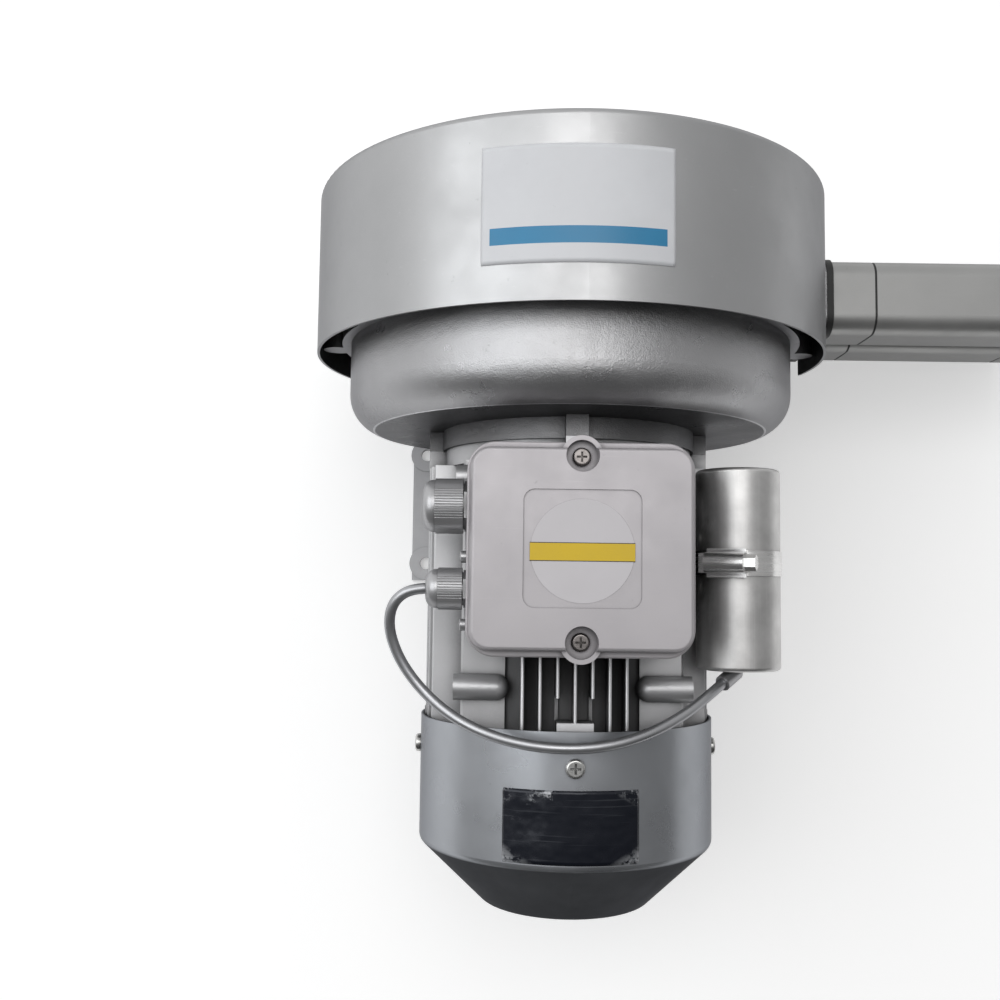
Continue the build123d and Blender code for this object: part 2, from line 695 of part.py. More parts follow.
# Front casing half, with the two ports
with BuildPart() as casing_front:
    for centre_z, start in ((UPPER_DUCT_Z, UPPER_PORT_START), (LOWER_DUCT_Z, LOWER_PORT_START)):
        duct_section(start, PORT_FACE - start, centre_z, inner=False)
    with BuildSketch(sideways(UPPER_PORT_START, DUCT_Y, (UPPER_DUCT_Z + LOWER_DUCT_Z) / 2)):
        Rectangle(DUCT_WIDTH - 2 * DUCT_CORNER, DUCT_HEIGHT)
    extrude(amount=PORT_FACE - UPPER_PORT_START)
    casing_shell(CASING_FRONT, COVER_START)
    for centre_z, start in ((UPPER_DUCT_Z, UPPER_PORT_START), (LOWER_DUCT_Z, LOWER_PORT_START)):
        duct_bore(start + PORT_END_WALL, PORT_FACE, centre_z)
        with BuildSketch(sideways(PORT_FACE, DUCT_Y, centre_z)):
            with GridLocations(ROD_SPACING_Y, ROD_SPACING_Z, 2, 2):
                Circle(DUCT_SCREW_R + SEAT_GAP)
        extrude(amount=-DUCT_SCREW_BITE, mode=Mode.SUBTRACT)
    cover_wall_front = CHAMBER_FRONT + HUB_WALL
    tube_between(cover_wall_front, CASING_FRONT, NECK_R - 2, 0, mode=Mode.SUBTRACT)
    boss_front = CHAMBER_FRONT + COVER_POCKET_DEPTH + HUB_WALL
    tube_between(cover_wall_front, boss_front, COVER_BOSS_R, 0)
    with BuildSketch(across(cover_wall_front)):
        rib_length = NECK_R - COVER_BOSS_R
        with PolarLocations(COVER_BOSS_R + rib_length / 2 - 1, COVER_RIB_COUNT):
            Rectangle(rib_length, COVER_RIB_THICKNESS)
    extrude(amount=cover_wall_front - boss_front + COVER_RIB_THICKNESS)
    tube_between(
        CHAMBER_FRONT, CHAMBER_FRONT + COVER_POCKET_DEPTH, COVER_POCKET_R, 0, mode=Mode.SUBTRACT
    )
    with BuildSketch(across(CASING_FRONT)):
        for angle in DRUM_SCREW_ANGLES:
            with PolarLocations(DRUM_SCREW_CIRCLE_R, 1, start_angle=angle):
                Circle(DRUM_BOSS_R)
    extrude(amount=CASING_FRONT - DRUM_SEAT + SEAT_GAP)
    with BuildSketch(across(DRUM_SEAT)):
        for angle in DRUM_SCREW_ANGLES:
            with PolarLocations(DRUM_SCREW_CIRCLE_R, 1, start_angle=angle):
                Circle(DRUM_SCREW_R + SEAT_GAP)
    extrude(amount=DRUM_SCREW_BITE, mode=Mode.SUBTRACT)
    with BuildSketch(across(COVER_START)):
        for angle in LUG_ANGLES:
            with PolarLocations(LUG_CIRCLE_R, 1, start_angle=angle):
                Circle(CASING_BOLT_R + FIT_GAP)
    extrude(amount=-FLANGE_THICKNESS, mode=Mode.SUBTRACT)
    with BuildSketch(across(COVER_START)):
        with PolarLocations(LUG_CIRCLE_R, 1, start_angle=PORT_LUG_ANGLE):
            Circle(CASING_BOLT_R + SEAT_GAP)
    extrude(amount=-CASING_BOLT_BITE, mode=Mode.SUBTRACT)
save(casing_front, "casing_front")

with BuildPart() as casing_gasket:
    tube_between(SPLIT, COVER_START, CASING_R, CHANNEL_OUTER_R)
save(casing_gasket, "casing_gasket")

with BuildPart() as casing_bolts:
    seats = [(1, COVER_START + FLANGE_THICKNESS, angle) for angle in LUG_ANGLES]
    seats.append((-1, SPLIT - FLANGE_THICKNESS, PORT_LUG_ANGLE))
    grip = FLANGE_THICKNESS + CASING_BOLT_BITE
    for direction, station, angle in seats:
        with Locations(facing_along(direction, station, LUG_CIRCLE_R, angle)):
            add(screw(CASING_BOLT_R, grip, CASING_BOLT_HEAD_R, CASING_BOLT_HEAD))
save(casing_bolts, "casing_bolts")

# Impeller: hub, disc and a rim with a groove on each side, crossed by bowed blades
with BuildPart() as impeller:
    half = IMPELLER_WIDTH / 2
    groove_offset = IMPELLER_WEB / 2 + POCKET_R
    groove_r = (IMPELLER_R + IMPELLER_RING_INNER_R) / 2 + POCKET_OFFSET
    with BuildSketch(SHAFT_PLANE) as section:
        with Locations((IMPELLER_MID, IMPELLER_R / 2)):
            Rectangle(IMPELLER_DISC, IMPELLER_R)
        with Locations((IMPELLER_MID, IMPELLER_HUB_R / 2)):
            Rectangle(IMPELLER_WIDTH, IMPELLER_HUB_R)
        with Locations((IMPELLER_MID, (IMPELLER_R + IMPELLER_RING_INNER_R) / 2)):
            Rectangle(IMPELLER_WIDTH, IMPELLER_R - IMPELLER_RING_INNER_R)
        with Locations(
            (IMPELLER_MID - groove_offset, groove_r), (IMPELLER_MID + groove_offset, groove_r)
        ):
            Circle(POCKET_R, mode=Mode.SUBTRACT)
        with Locations((IMPELLER_MID, SHAFT_SEAT_R / 2)):
            Rectangle(IMPELLER_WIDTH, SHAFT_SEAT_R + 2 * SEAT_GAP, mode=Mode.SUBTRACT)
    revolve(axis=SHAFT_AXIS)
    blade_inner = groove_r - POCKET_R
    blade_outer = IMPELLER_R - BLADE_THICKNESS / 4
    with BuildSketch(across(IMPELLER_MID)):
        with BuildSketch(mode=Mode.PRIVATE) as blade:
            with BuildLine():
                bow_r = (blade_inner + blade_outer) / 2
                half_thick = BLADE_THICKNESS / 2
                ThreePointArc(
                    (blade_inner, -half_thick),
                    (bow_r, BLADE_BOW - half_thick),
                    (blade_outer, -half_thick),
                )
                Line((blade_outer, -half_thick), (blade_outer, half_thick))
                ThreePointArc(
                    (blade_outer, half_thick),
                    (bow_r, BLADE_BOW + half_thick),
                    (blade_inner, half_thick),
                )
                Line((blade_inner, half_thick), (blade_inner, -half_thick))
            make_face()
        with PolarLocations(0, BLADE_COUNT):
            add(blade.sketch)
    extrude(amount=half, both=True)
    with BuildSketch(across(IMPELLER_MID)):
        with PolarLocations(0, 1, start_angle=90):
            with Locations((SHAFT_SEAT_R - KEY_DEPTH + KEY_HEIGHT / 2, 0)):
                Rectangle(KEY_HEIGHT + 2 * SEAT_GAP, KEY_WIDTH + 2 * SEAT_GAP)
    extrude(amount=half, both=True, mode=Mode.SUBTRACT)
    with BuildSketch(across(IMPELLER_MID)):
        with PolarLocations(PULLER_CIRCLE_R, PULLER_HOLES):
            Circle(PULLER_HOLE_R)
    extrude(amount=half, both=True, mode=Mode.SUBTRACT)
save(impeller, "impeller")

with BuildPart() as impeller_key:
    with Locations((0, KEY_MID, AXIS_HEIGHT + SHAFT_SEAT_R - KEY_DEPTH + KEY_HEIGHT / 2)):
        Box(KEY_WIDTH, KEY_LENGTH, KEY_HEIGHT)
    fillet(impeller_key.edges().filter_by(Axis.Z), KEY_WIDTH * 0.45)
save(impeller_key, "impeller_key")

with BuildPart() as impeller_washer:
    washer_rear = IMPELLER_MID + IMPELLER_WIDTH / 2
    tube_between(
        washer_rear, washer_rear + WASHER_THICKNESS, WASHER_R, IMPELLER_BOLT_R + FIT_GAP
    )
save(impeller_washer, "impeller_washer")

with BuildPart(Plane(origin=(0, BOLT_SEAT, AXIS_HEIGHT), z_dir=(0, 1, 0))) as impeller_bolt:
    add(screw(IMPELLER_BOLT_R, IMPELLER_BOLT_LENGTH, 8.5, 6.4))
save(impeller_bolt, "impeller_bolt")

# Shaft with its seats, keyway and the bolt hole in its front end
with BuildPart() as motor_shaft:
    turned(
        (SHAFT_REAR, 0),
        (SHAFT_REAR, SHAFT_FAN_R),
        (FAN_SEAT_FRONT, SHAFT_FAN_R),
        (FAN_SEAT_FRONT, BEARING_BORE_R),
        (REAR_BEARING_FRONT, BEARING_BORE_R),
        (REAR_BEARING_FRONT, SHAFT_SHOULDER_R),
        (CORE_REAR, SHAFT_SHOULDER_R),
        (CORE_REAR, SHAFT_CORE_R),
        (CORE_FRONT, SHAFT_CORE_R),
        (CORE_FRONT, SHAFT_SHOULDER_R),
        (FRONT_BEARING_REAR, SHAFT_SHOULDER_R),
        (FRONT_BEARING_REAR, BEARING_BORE_R),
        (FRONT_BEARING_FRONT, BEARING_BORE_R),
        (FRONT_BEARING_FRONT, SHAFT_SEAL_R),
        (IMPELLER_MID - IMPELLER_WIDTH / 2, SHAFT_SEAL_R),
        (IMPELLER_MID - IMPELLER_WIDTH / 2, SHAFT_SEAT_R),
        (SHAFT_FRONT, SHAFT_SEAT_R),
        (SHAFT_FRONT, 0),
    )
    ends = motor_shaft.edges().filter_by(GeomType.CIRCLE).sort_by(Axis.Y)
    chamfer([ends[0], ends[-1]], 0.8)
    with Locations((0, KEY_MID, AXIS_HEIGHT + SHAFT_SEAT_R - KEY_DEPTH / 2)):
        Box(KEY_WIDTH + 2 * SEAT_GAP, KEY_LENGTH + 2 * SEAT_GAP, KEY_DEPTH, mode=Mode.SUBTRACT)
    bolt_tip = BOLT_SEAT - IMPELLER_BOLT_LENGTH
    tube_between(bolt_tip - 2, SHAFT_FRONT, IMPELLER_BOLT_R + SEAT_GAP, 0, mode=Mode.SUBTRACT)
    groove_rear = FAN_HUB_REAR - CIRCLIP_THICKNESS
    tube_between(groove_rear, FAN_HUB_REAR, SHAFT_FAN_R, CIRCLIP_BORE_R, mode=Mode.SUBTRACT)
save(motor_shaft, "motor_shaft")

# Laminated cores and windings
with BuildPart() as rotor_core:
    tube_between(CORE_REAR, CORE_FRONT, STACK_BORE_R - AIR_GAP, SHAFT_CORE_R + SEAT_GAP)
save(rotor_core, "rotor_core")

with BuildPart() as rotor_end_rings:
    for start, end in ((CORE_REAR - END_RING_LENGTH, CORE_REAR), (CORE_FRONT, RING_FRONT)):
        tube_between(start, end, END_RING_OUTER_R, END_RING_INNER_R)
save(rotor_end_rings, "rotor_end_rings")

with BuildPart() as stator_core:
    with BuildSketch(across(CORE_FRONT)):
        Circle(FRAME_BORE_R - SEAT_GAP)
        Circle(STACK_BORE_R, mode=Mode.SUBTRACT)
        slot_depth = SLOT_OUTER_R - SLOT_INNER_R
        with PolarLocations(SLOT_INNER_R + slot_depth / 2, SLOT_COUNT):
            Rectangle(slot_depth, SLOT_WIDTH, mode=Mode.SUBTRACT)
        with PolarLocations(STACK_BORE_R + 2, SLOT_COUNT):
            Rectangle(SLOT_INNER_R - STACK_BORE_R + 2, SLOT_MOUTH, mode=Mode.SUBTRACT)
    extrude(amount=STACK_LENGTH)
save(stator_core, "stator_core")

with BuildPart() as stator_windings:
    coil_rear = CORE_REAR - COIL_STANDOFF
    coil_front = CORE_FRONT + COIL_STANDOFF
    for start, end in ((coil_rear - COIL_OVERHANG, coil_rear), (coil_front, COIL_FRONT)):
        with BuildSketch(SHAFT_PLANE):
            with Locations(((start + end) / 2, COIL_MID_R)):
                RectangleRounded(end - start, 2 * (SLOT_OUTER_R - COIL_MID_R) + 4, 6)
        revolve(axis=SHAFT_AXIS)
    with BuildSketch(across(coil_front + 3)):
        with PolarLocations(COIL_MID_R, SLOT_COUNT):
            Rectangle(SLOT_OUTER_R - SLOT_INNER_R - 2 * COIL_GAP, SLOT_WIDTH - 2 * COIL_GAP)
    extrude(amount=STACK_LENGTH + 2 * COIL_STANDOFF + 6)
save(stator_windings, "stator_windings")


# Two ball bearings: outer rings, inner rings, balls and cages
with BuildPart() as ball_grooves:
    for rear in BEARING_REARS:
        with BuildSketch(SHAFT_PLANE):
            with Locations((rear + BEARING_WIDTH / 2, BEARING_PITCH_R)):
                Circle(BALL_GROOVE_R)
        revolve(axis=SHAFT_AXIS)
with BuildPart() as bearing_outer_rings:
    for rear in BEARING_REARS:
        tube_between(rear, rear + BEARING_WIDTH, BEARING_OUTER_R, OUTER_RING_BORE_R)
    add(ball_grooves.part, mode=Mode.SUBTRACT)
save(bearing_outer_rings, "bearing_outer_rings")

with BuildPart() as bearing_inner_rings:
    for rear in BEARING_REARS:
        tube_between(rear, rear + BEARING_WIDTH, INNER_RING_R, BEARING_BORE_R + SEAT_GAP)
    add(ball_grooves.part, mode=Mode.SUBTRACT)
save(bearing_inner_rings, "bearing_inner_rings")

with BuildPart() as bearing_balls:
    for rear in BEARING_REARS:
        with Locations(across(rear + BEARING_WIDTH / 2)):
            with PolarLocations(BEARING_PITCH_R, BALL_COUNT):
                Sphere(BALL_R)
save(bearing_balls, "bearing_balls")

with BuildPart() as bearing_cages:
    for rear in BEARING_REARS:
        mid = rear + BEARING_WIDTH / 2
        tube_between(
            mid - CAGE_WIDTH / 2,
            mid + CAGE_WIDTH / 2,
            BEARING_PITCH_R + CAGE_THICKNESS / 2,
            BEARING_PITCH_R - CAGE_THICKNESS / 2,
        )
        for index in range(BALL_COUNT):
            angle = 2 * pi * index / BALL_COUNT
            with BuildSketch(radial_plane(mid, BEARING_PITCH_R - CAGE_THICKNESS, angle)):
                Circle(BALL_R + FIT_GAP)
            extrude(amount=2 * CAGE_THICKNESS, mode=Mode.SUBTRACT)
save(bearing_cages, "bearing_cages")

with BuildPart() as wave_washer:
    tube_between(SHIELD_STOP, SHIELD_STOP + WAVE_WASHER, BEARING_OUTER_R - 0.5, OUTER_RING_BORE_R)
save(wave_washer, "wave_washer")

with BuildPart() as shaft_seal:
    tube_between(SEAL_REAR, SEAL_REAR + SEAL_WIDTH, SEAL_R, SHAFT_SEAL_R + SEAL_BORE_GAP)
save(shaft_seal, "shaft_seal")

# Motor frame: finned tube with corner pads, flange bars and the pedestal for the terminal box
with BuildPart() as motor_frame:
    frame_length = FRAME_FRONT - FRAME_REAR
    with BuildSketch(across(FRAME_FRONT)):
        for turn in range(4):
            for index in range(FIN_COUNT):
                shift = (index - (FIN_COUNT - 1) / 2) * FIN_PITCH
                tip = sqrt(FIN_TIP_R**2 - shift**2)
                with Locations(Location((0, 0, 0), 90 * turn)):
                    with Locations((shift, (tip + FIN_ROOT_R) / 2)):
                        SlotOverall(tip - FIN_ROOT_R, FIN_THICKNESS, rotation=90)
        for sign_x in (-1, 1):
            for sign_z in (-1, 1):
                with Locations((sign_x * (PAD_INNER + PAD_X) / 2, sign_z * (PAD_INNER + PAD_Z) / 2)):
                    Rectangle(PAD_X - PAD_INNER, PAD_Z - PAD_INNER)
        Circle(FIN_TIP_R, mode=Mode.INTERSECT)
        Circle(FRAME_R)
        Circle(FRAME_BORE_R, mode=Mode.SUBTRACT)
    extrude(amount=frame_length)
    with BuildSketch(across(FRAME_FRONT)):
        Circle(FIN_TIP_R + 1)
        Circle(FRAME_R, mode=Mode.SUBTRACT)
    extrude(amount=FRAME_RING_LENGTH, mode=Mode.SUBTRACT)
    tube_between(FRAME_FRONT - FRAME_RING_LENGTH, FRAME_FRONT, FRAME_RING_R, FRAME_BORE_R)
    for sign in (-1, 1):
        with Locations((sign * FIN_PITCH, (FRAME_REAR + SHORT_FIN_REAR) / 2, AXIS_HEIGHT + FRAME_R + 12)):
            Box(FIN_THICKNESS + 1, SHORT_FIN_REAR - FRAME_REAR, 21, mode=Mode.SUBTRACT)
    for station, length, direction in (
        (FRAME_FRONT, FLANGE_BAR_LENGTH, 1),
        (FRAME_REAR, REAR_BLOCK_LENGTH, -1),
    ):
        with BuildSketch(across(station)):
            with PolarLocations((FLANGE_BAR_INNER_R + FIN_TIP_R) / 2, 4):
                Rectangle(FIN_TIP_R - FLANGE_BAR_INNER_R, FLANGE_BAR_WIDTH if direction > 0 else REAR_BLOCK_WIDTH)
        extrude(amount=direction * length)
    for station in SIDE_BOSS_STATIONS:
        for side in (-1, 1):
            with BuildSketch(sideways(side * SIDE_BOSS_FROM, station, AXIS_HEIGHT + SIDE_BOSS_Z)):
                Circle(SIDE_BOSS_R)
            extrude(amount=side * (SIDE_BOSS_TO - SIDE_BOSS_FROM))
            with Locations((side * SIDE_BOSS_FROM, station, AXIS_HEIGHT + SIDE_BOSS_Z)):
                Sphere(SIDE_BOSS_R)
    with BuildSketch(Plane.XY.offset(AXIS_HEIGHT + FRAME_R - 15)):
        with Locations((0, BOX_Y)):
            RectangleRounded(2 * PEDESTAL_X, PEDESTAL_LENGTH, 6)
    extrude(amount=PEDESTAL_TOP - FRAME_R + 15)
    with BuildSketch(across(FRAME_FRONT + 1)):
        Circle(FRAME_BORE_R)
    extrude(amount=frame_length + 2, mode=Mode.SUBTRACT)
    with Locations((0, BOX_Y, BOX_FLOOR + 10)):
        Box(2 * SIDE_BOSS_TO, BOX_DEPTH + 4, 20, mode=Mode.SUBTRACT)
    with Locations((LEAD_HOLE_X, BOX_Y, BOX_FLOOR)):
        Cylinder(
            LEAD_HOLE_R,
            PEDESTAL_TOP,
            align=(Align.CENTER, Align.CENTER, Align.MAX),
            mode=Mode.SUBTRACT,
        )
    with Locations((0, BOX_Y, BOX_FLOOR)):
        with GridLocations(BOX_SCREW_X, BOX_SCREW_Y, 2, 2):
            Cylinder(
                BOX_SCREW_R + SEAT_GAP,
                BOX_SCREW_BITE,
                align=(Align.CENTER, Align.CENTER, Align.MAX),
                mode=Mode.SUBTRACT,
            )
    with BuildSketch(across(FRAME_FRONT)):
        with PolarLocations(FLANGE_BOLT_CIRCLE_R, 4):
            Circle(MOTOR_BOLT_R + FIT_GAP)
    extrude(amount=FLANGE_BAR_LENGTH, mode=Mode.SUBTRACT)
    with BuildSketch(across(FRAME_FRONT - FLANGE_BAR_LENGTH)):
        with PolarLocations(FLANGE_BOLT_CIRCLE_R, 4):
            Rectangle(FIN_TIP_R - FRAME_R + 3, FLANGE_BAR_WIDTH)
    extrude(amount=BOLT_HEAD_ROOM, mode=Mode.SUBTRACT)
    with BuildSketch(across(FRAME_REAR)):
        with PolarLocations(SHIELD_BOLT_CIRCLE_R, 4, start_angle=45):
            Circle(SHIELD_BOLT_R + SEAT_GAP)
    extrude(amount=-SHIELD_BOLT_BITE, mode=Mode.SUBTRACT)
    for end in (-1, 1):
        with BuildSketch(sideways(PAD_X, CLAMP_STATION + end * BRACKET_SCREW_Y, CAPACITOR_Z - BRACKET_SCREW_DROP)):
            Circle(BRACKET_SCREW_R + SEAT_GAP)
        extrude(amount=-BRACKET_SCREW_BITE, mode=Mode.SUBTRACT)
save(motor_frame, "motor_frame")

with BuildPart(across(FRAME_FRONT - FLANGE_BAR_LENGTH)) as motor_bolts:
    with PolarLocations(FLANGE_BOLT_CIRCLE_R, 4):
        add(screw(MOTOR_BOLT_R, FLANGE_BAR_LENGTH + MOTOR_BOLT_BITE, 5, 4))
save(motor_bolts, "motor_bolts")

# Rear end shield with the bearing hub and the lugs that hold the cowl
with BuildPart() as rear_end_shield:
    shield_rear = FRAME_REAR - SHIELD_RIM
    tube_between(shield_rear, shield_rear + SHIELD_WEB, FRAME_R + 2, BEARING_OUTER_R)
    tube_between(shield_rear, FRAME_REAR, FRAME_R + 2, FRAME_R - SHIELD_WEB)
    tube_between(FRAME_REAR - SHIELD_WEB, FRAME_REAR + SHIELD_LIP, FRAME_BORE_R - FIT_GAP, FRAME_BORE_R - 4)
    tube_between(FRAME_REAR - SHIELD_WEB, FRAME_REAR, FRAME_R, FRAME_BORE_R - 4)
    tube_between(shield_rear, FRAME_REAR, SHIELD_HUB_R, BEARING_OUTER_R)
    tube_between(shield_rear, SHIELD_STOP, SHIELD_HUB_R, SHAFT_CORE_R)
    with BuildSketch(across(FRAME_REAR)):
        with PolarLocations(COWL_R / 2 + FRAME_R / 2, 4):
            Rectangle(COWL_R - FRAME_R + 2, SHIELD_LUG_WIDTH)
        with PolarLocations(SHIELD_BOLT_CIRCLE_R - SHIELD_LUG_WIDTH / 2, 4, start_angle=45):
            Rectangle(SHIELD_LUG_WIDTH, SHIELD_LUG_WIDTH)
        with PolarLocations(SHIELD_BOLT_CIRCLE_R, 4, start_angle=45):
            Circle(SHIELD_LUG_WIDTH / 2)
        Circle(COWL_R - COWL_SHEET - SEAT_GAP, mode=Mode.INTERSECT)
        Circle(FRAME_R, mode=Mode.SUBTRACT)
    extrude(amount=SHIELD_RIM)
    with BuildSketch(across(shield_rear + SHIELD_WEB)):
        with PolarLocations((SHIELD_HUB_R + FRAME_R) / 2 - 1, 8, start_angle=22.5):
            Rectangle(FRAME_R - SHIELD_HUB_R, 4)
    extrude(amount=-8)
    with BuildSketch(across(FRAME_REAR)):
        with PolarLocations(SHIELD_BOLT_CIRCLE_R, 4, start_angle=45):
            Circle(SHIELD_BOLT_R + FIT_GAP)
    extrude(amount=SHIELD_RIM, mode=Mode.SUBTRACT)
    for turn in range(4):
        with BuildSketch(cowl_screw_plane(turn, COWL_R - COWL_SHEET)):
            Circle(COWL_SCREW_R + SEAT_GAP)
        extrude(amount=-COWL_SCREW_BITE, mode=Mode.SUBTRACT)
save(rear_end_shield, "rear_end_shield")

with BuildPart(across(FRAME_REAR - SHIELD_RIM)) as shield_bolts:
    with PolarLocations(SHIELD_BOLT_CIRCLE_R, 4, start_angle=45):
        add(screw(SHIELD_BOLT_R, SHIELD_RIM + SHIELD_BOLT_BITE, 4, 3))
save(shield_bolts, "shield_bolts")

# Cooling fan, its circlip and the cowl
with BuildPart() as cooling_fan:
    fan_front = FAN_HUB_REAR + FAN_HUB_LENGTH
    tube_between(FAN_HUB_REAR, fan_front, FAN_HUB_R, SHAFT_FAN_R + SEAT_GAP)
    tube_between(fan_front - FAN_PLATE, fan_front, FAN_R - 6, SHAFT_FAN_R + SEAT_GAP)
    with BuildSketch(across(fan_front)):
        with PolarLocations((FAN_HUB_R + FAN_R) / 2 - 1, FAN_BLADES):
            Rectangle(FAN_R - FAN_HUB_R + 2, FAN_BLADE_THICKNESS)
    extrude(amount=FAN_BLADE_DEPTH)
    turned(
        (FAN_HUB_REAR - 12, FAN_HUB_R),
        (FAN_HUB_REAR - 12, FAN_HUB_R + 22),
        (FAN_HUB_REAR + 2, FAN_HUB_R + 2),
        (FAN_HUB_REAR + 2, FAN_HUB_R),
        mode=Mode.SUBTRACT,
    )
save(cooling_fan, "cooling_fan")

with BuildPart() as fan_circlip:
    tube_between(
        FAN_HUB_REAR - CIRCLIP_THICKNESS, FAN_HUB_REAR - SEAT_GAP, CIRCLIP_R, CIRCLIP_BORE_R
    )
    with Locations((0, FAN_HUB_REAR, AXIS_HEIGHT + CIRCLIP_R)):
        Box(6, 10, 2 * (CIRCLIP_R - CIRCLIP_BORE_R) + 3, mode=Mode.SUBTRACT)
save(fan_circlip, "fan_circlip")

with BuildPart() as fan_cowl:
    cone = [(COWL_RIM, COWL_R), (COWL_SHOULDER, COWL_R), (COWL_END, COWL_END_R), (COWL_END, 0)]
    with BuildSketch(SHAFT_PLANE) as cowl_section:
        with BuildLine():
            Polyline((COWL_RIM, 0), *cone, close=True)
        make_face()
        fillet(
            cowl_section.vertices().sort_by_distance((COWL_SHOULDER, COWL_R))[0],
            COWL_SHOULDER_ROUND,
        )
        fillet(cowl_section.vertices().sort_by_distance((COWL_END, COWL_END_R))[0], COWL_CORNER)
    revolve(axis=SHAFT_AXIS)
    rim_face = fan_cowl.faces().sort_by(Axis.Y)[-1]
    offset(amount=-COWL_SHEET, openings=rim_face)
    with BuildSketch(across(COWL_END + 5)):
        with PolarLocations(GRILLE_CIRCLE_R, GRILLE_SLOTS):
            SlotOverall(GRILLE_SLOT_LENGTH, GRILLE_SLOT_WIDTH)
        with PolarLocations(9, 5):
            Circle(2.6)
    extrude(amount=10, mode=Mode.SUBTRACT)
    for turn in range(4):
        with BuildSketch(cowl_screw_plane(turn, COWL_R + 1)):
            Circle(COWL_SCREW_R + FIT_GAP)
        extrude(amount=-COWL_SHEET - 3, mode=Mode.SUBTRACT)
save(fan_cowl, "fan_cowl")

with BuildPart() as cowl_screws:
    for turn in range(4):
        with Locations(cowl_screw_plane(turn, COWL_R)):
            length = COWL_SHEET + COWL_SCREW_BITE - 1
            add(screw(COWL_SCREW_R, length, COWL_SCREW_HEAD_R, COWL_SCREW_HEAD, hexagonal=False))
save(cowl_screws, "cowl_screws")

# Terminal box, with its lid, gaskets and terminals
with BuildPart() as terminal_box:
    rounded_block(BOX_FLOOR, BOX_HEIGHT, BOX_WIDTH, BOX_DEPTH, BOX_CORNER, (0, BOX_Y))
    rounded_block(
        BOX_FLOOR + BOX_WALL,
        BOX_HEIGHT,
        BOX_WIDTH - 2 * BOX_WALL,
        BOX_DEPTH - 2 * BOX_WALL,
        BOX_CORNER - BOX_WALL,
        (0, BOX_Y),
        mode=Mode.SUBTRACT,
    )
    with Locations((0, BOX_Y, BOX_FLOOR + BOX_HEIGHT / 2)):
        with GridLocations(0, LID_SCREW_SPACING, 1, 2):
            Cylinder(LID_BOSS_R, BOX_HEIGHT)
    with Locations((LEAD_HOLE_X, BOX_Y, BOX_FLOOR)):
        Cylinder(LEAD_HOLE_R, 4 * BOX_WALL, mode=Mode.SUBTRACT)
    with Locations((0, BOX_Y, BOX_FLOOR)):
        with GridLocations(BOX_SCREW_X, BOX_SCREW_Y, 2, 2):
            Cylinder(BOX_SCREW_R + FIT_GAP, 4 * BOX_WALL, mode=Mode.SUBTRACT)
    with Locations(Location((0, BOX_Y, BOX_RIM))):
        with GridLocations(0, LID_SCREW_SPACING, 1, 2):
            Hole(LID_SCREW_R + SEAT_GAP, LID_SCREW_BITE)
    for gland_y, thread_r, *_ in GLANDS:
        with BuildSketch(sideways(-BOX_WIDTH / 2 - 1, gland_y, GLAND_Z)):
            Circle(thread_r + FIT_GAP)
        extrude(amount=BOX_WALL + 2, mode=Mode.SUBTRACT)
    for plug_y in SIDE_PLUGS:
        with BuildSketch(sideways(-BOX_WIDTH / 2 - 1, plug_y, GLAND_Z)):
            Circle(SIDE_PLUG_R - 1 + FIT_GAP)
        extrude(amount=BOX_WALL + 2, mode=Mode.SUBTRACT)
save(terminal_box, "terminal_box")

with BuildPart() as side_plugs:
    for plug_y in SIDE_PLUGS:
        with BuildSketch(sideways(-BOX_WIDTH / 2, plug_y, GLAND_Z)):
            Circle(SIDE_PLUG_R)
        extrude(amount=-SIDE_PLUG_LENGTH)
        with BuildSketch(sideways(-BOX_WIDTH / 2, plug_y, GLAND_Z)):
            Circle(SIDE_PLUG_R - 1)
        extrude(amount=BOX_WALL)
    chamfer(side_plugs.edges().filter_by(GeomType.CIRCLE).group_by(Axis.X)[0], 0.6)
save(side_plugs, "side_plugs")

with BuildPart() as box_screws:
    with Locations(Location((0, BOX_Y, BOX_FLOOR + BOX_WALL))):
        with GridLocations(BOX_SCREW_X, BOX_SCREW_Y, 2, 2):
            add(screw(BOX_SCREW_R, BOX_WALL + BOX_SCREW_BITE - 1, 3.6, 2.6, hexagonal=False))
save(box_screws, "box_screws")

with BuildPart() as box_gasket:
    rounded_block(BOX_RIM, BOX_GASKET, BOX_WIDTH, BOX_DEPTH, BOX_CORNER, (0, BOX_Y))
    with BuildSketch(Plane.XY.offset(BOX_RIM)):
        with Locations((0, BOX_Y)):
            RectangleRounded(
                BOX_WIDTH - 2 * BOX_WALL, BOX_DEPTH - 2 * BOX_WALL, BOX_CORNER - BOX_WALL
            )
            with GridLocations(0, LID_SCREW_SPACING, 1, 2):
                Circle(LID_BOSS_R, mode=Mode.SUBTRACT)
    extrude(amount=BOX_GASKET, mode=Mode.SUBTRACT)
    with Locations((0, BOX_Y, BOX_RIM)):
        with GridLocations(0, LID_SCREW_SPACING, 1, 2):
            Cylinder(LID_SCREW_R + FIT_GAP, 4 * BOX_GASKET, mode=Mode.SUBTRACT)
save(box_gasket, "box_gasket")

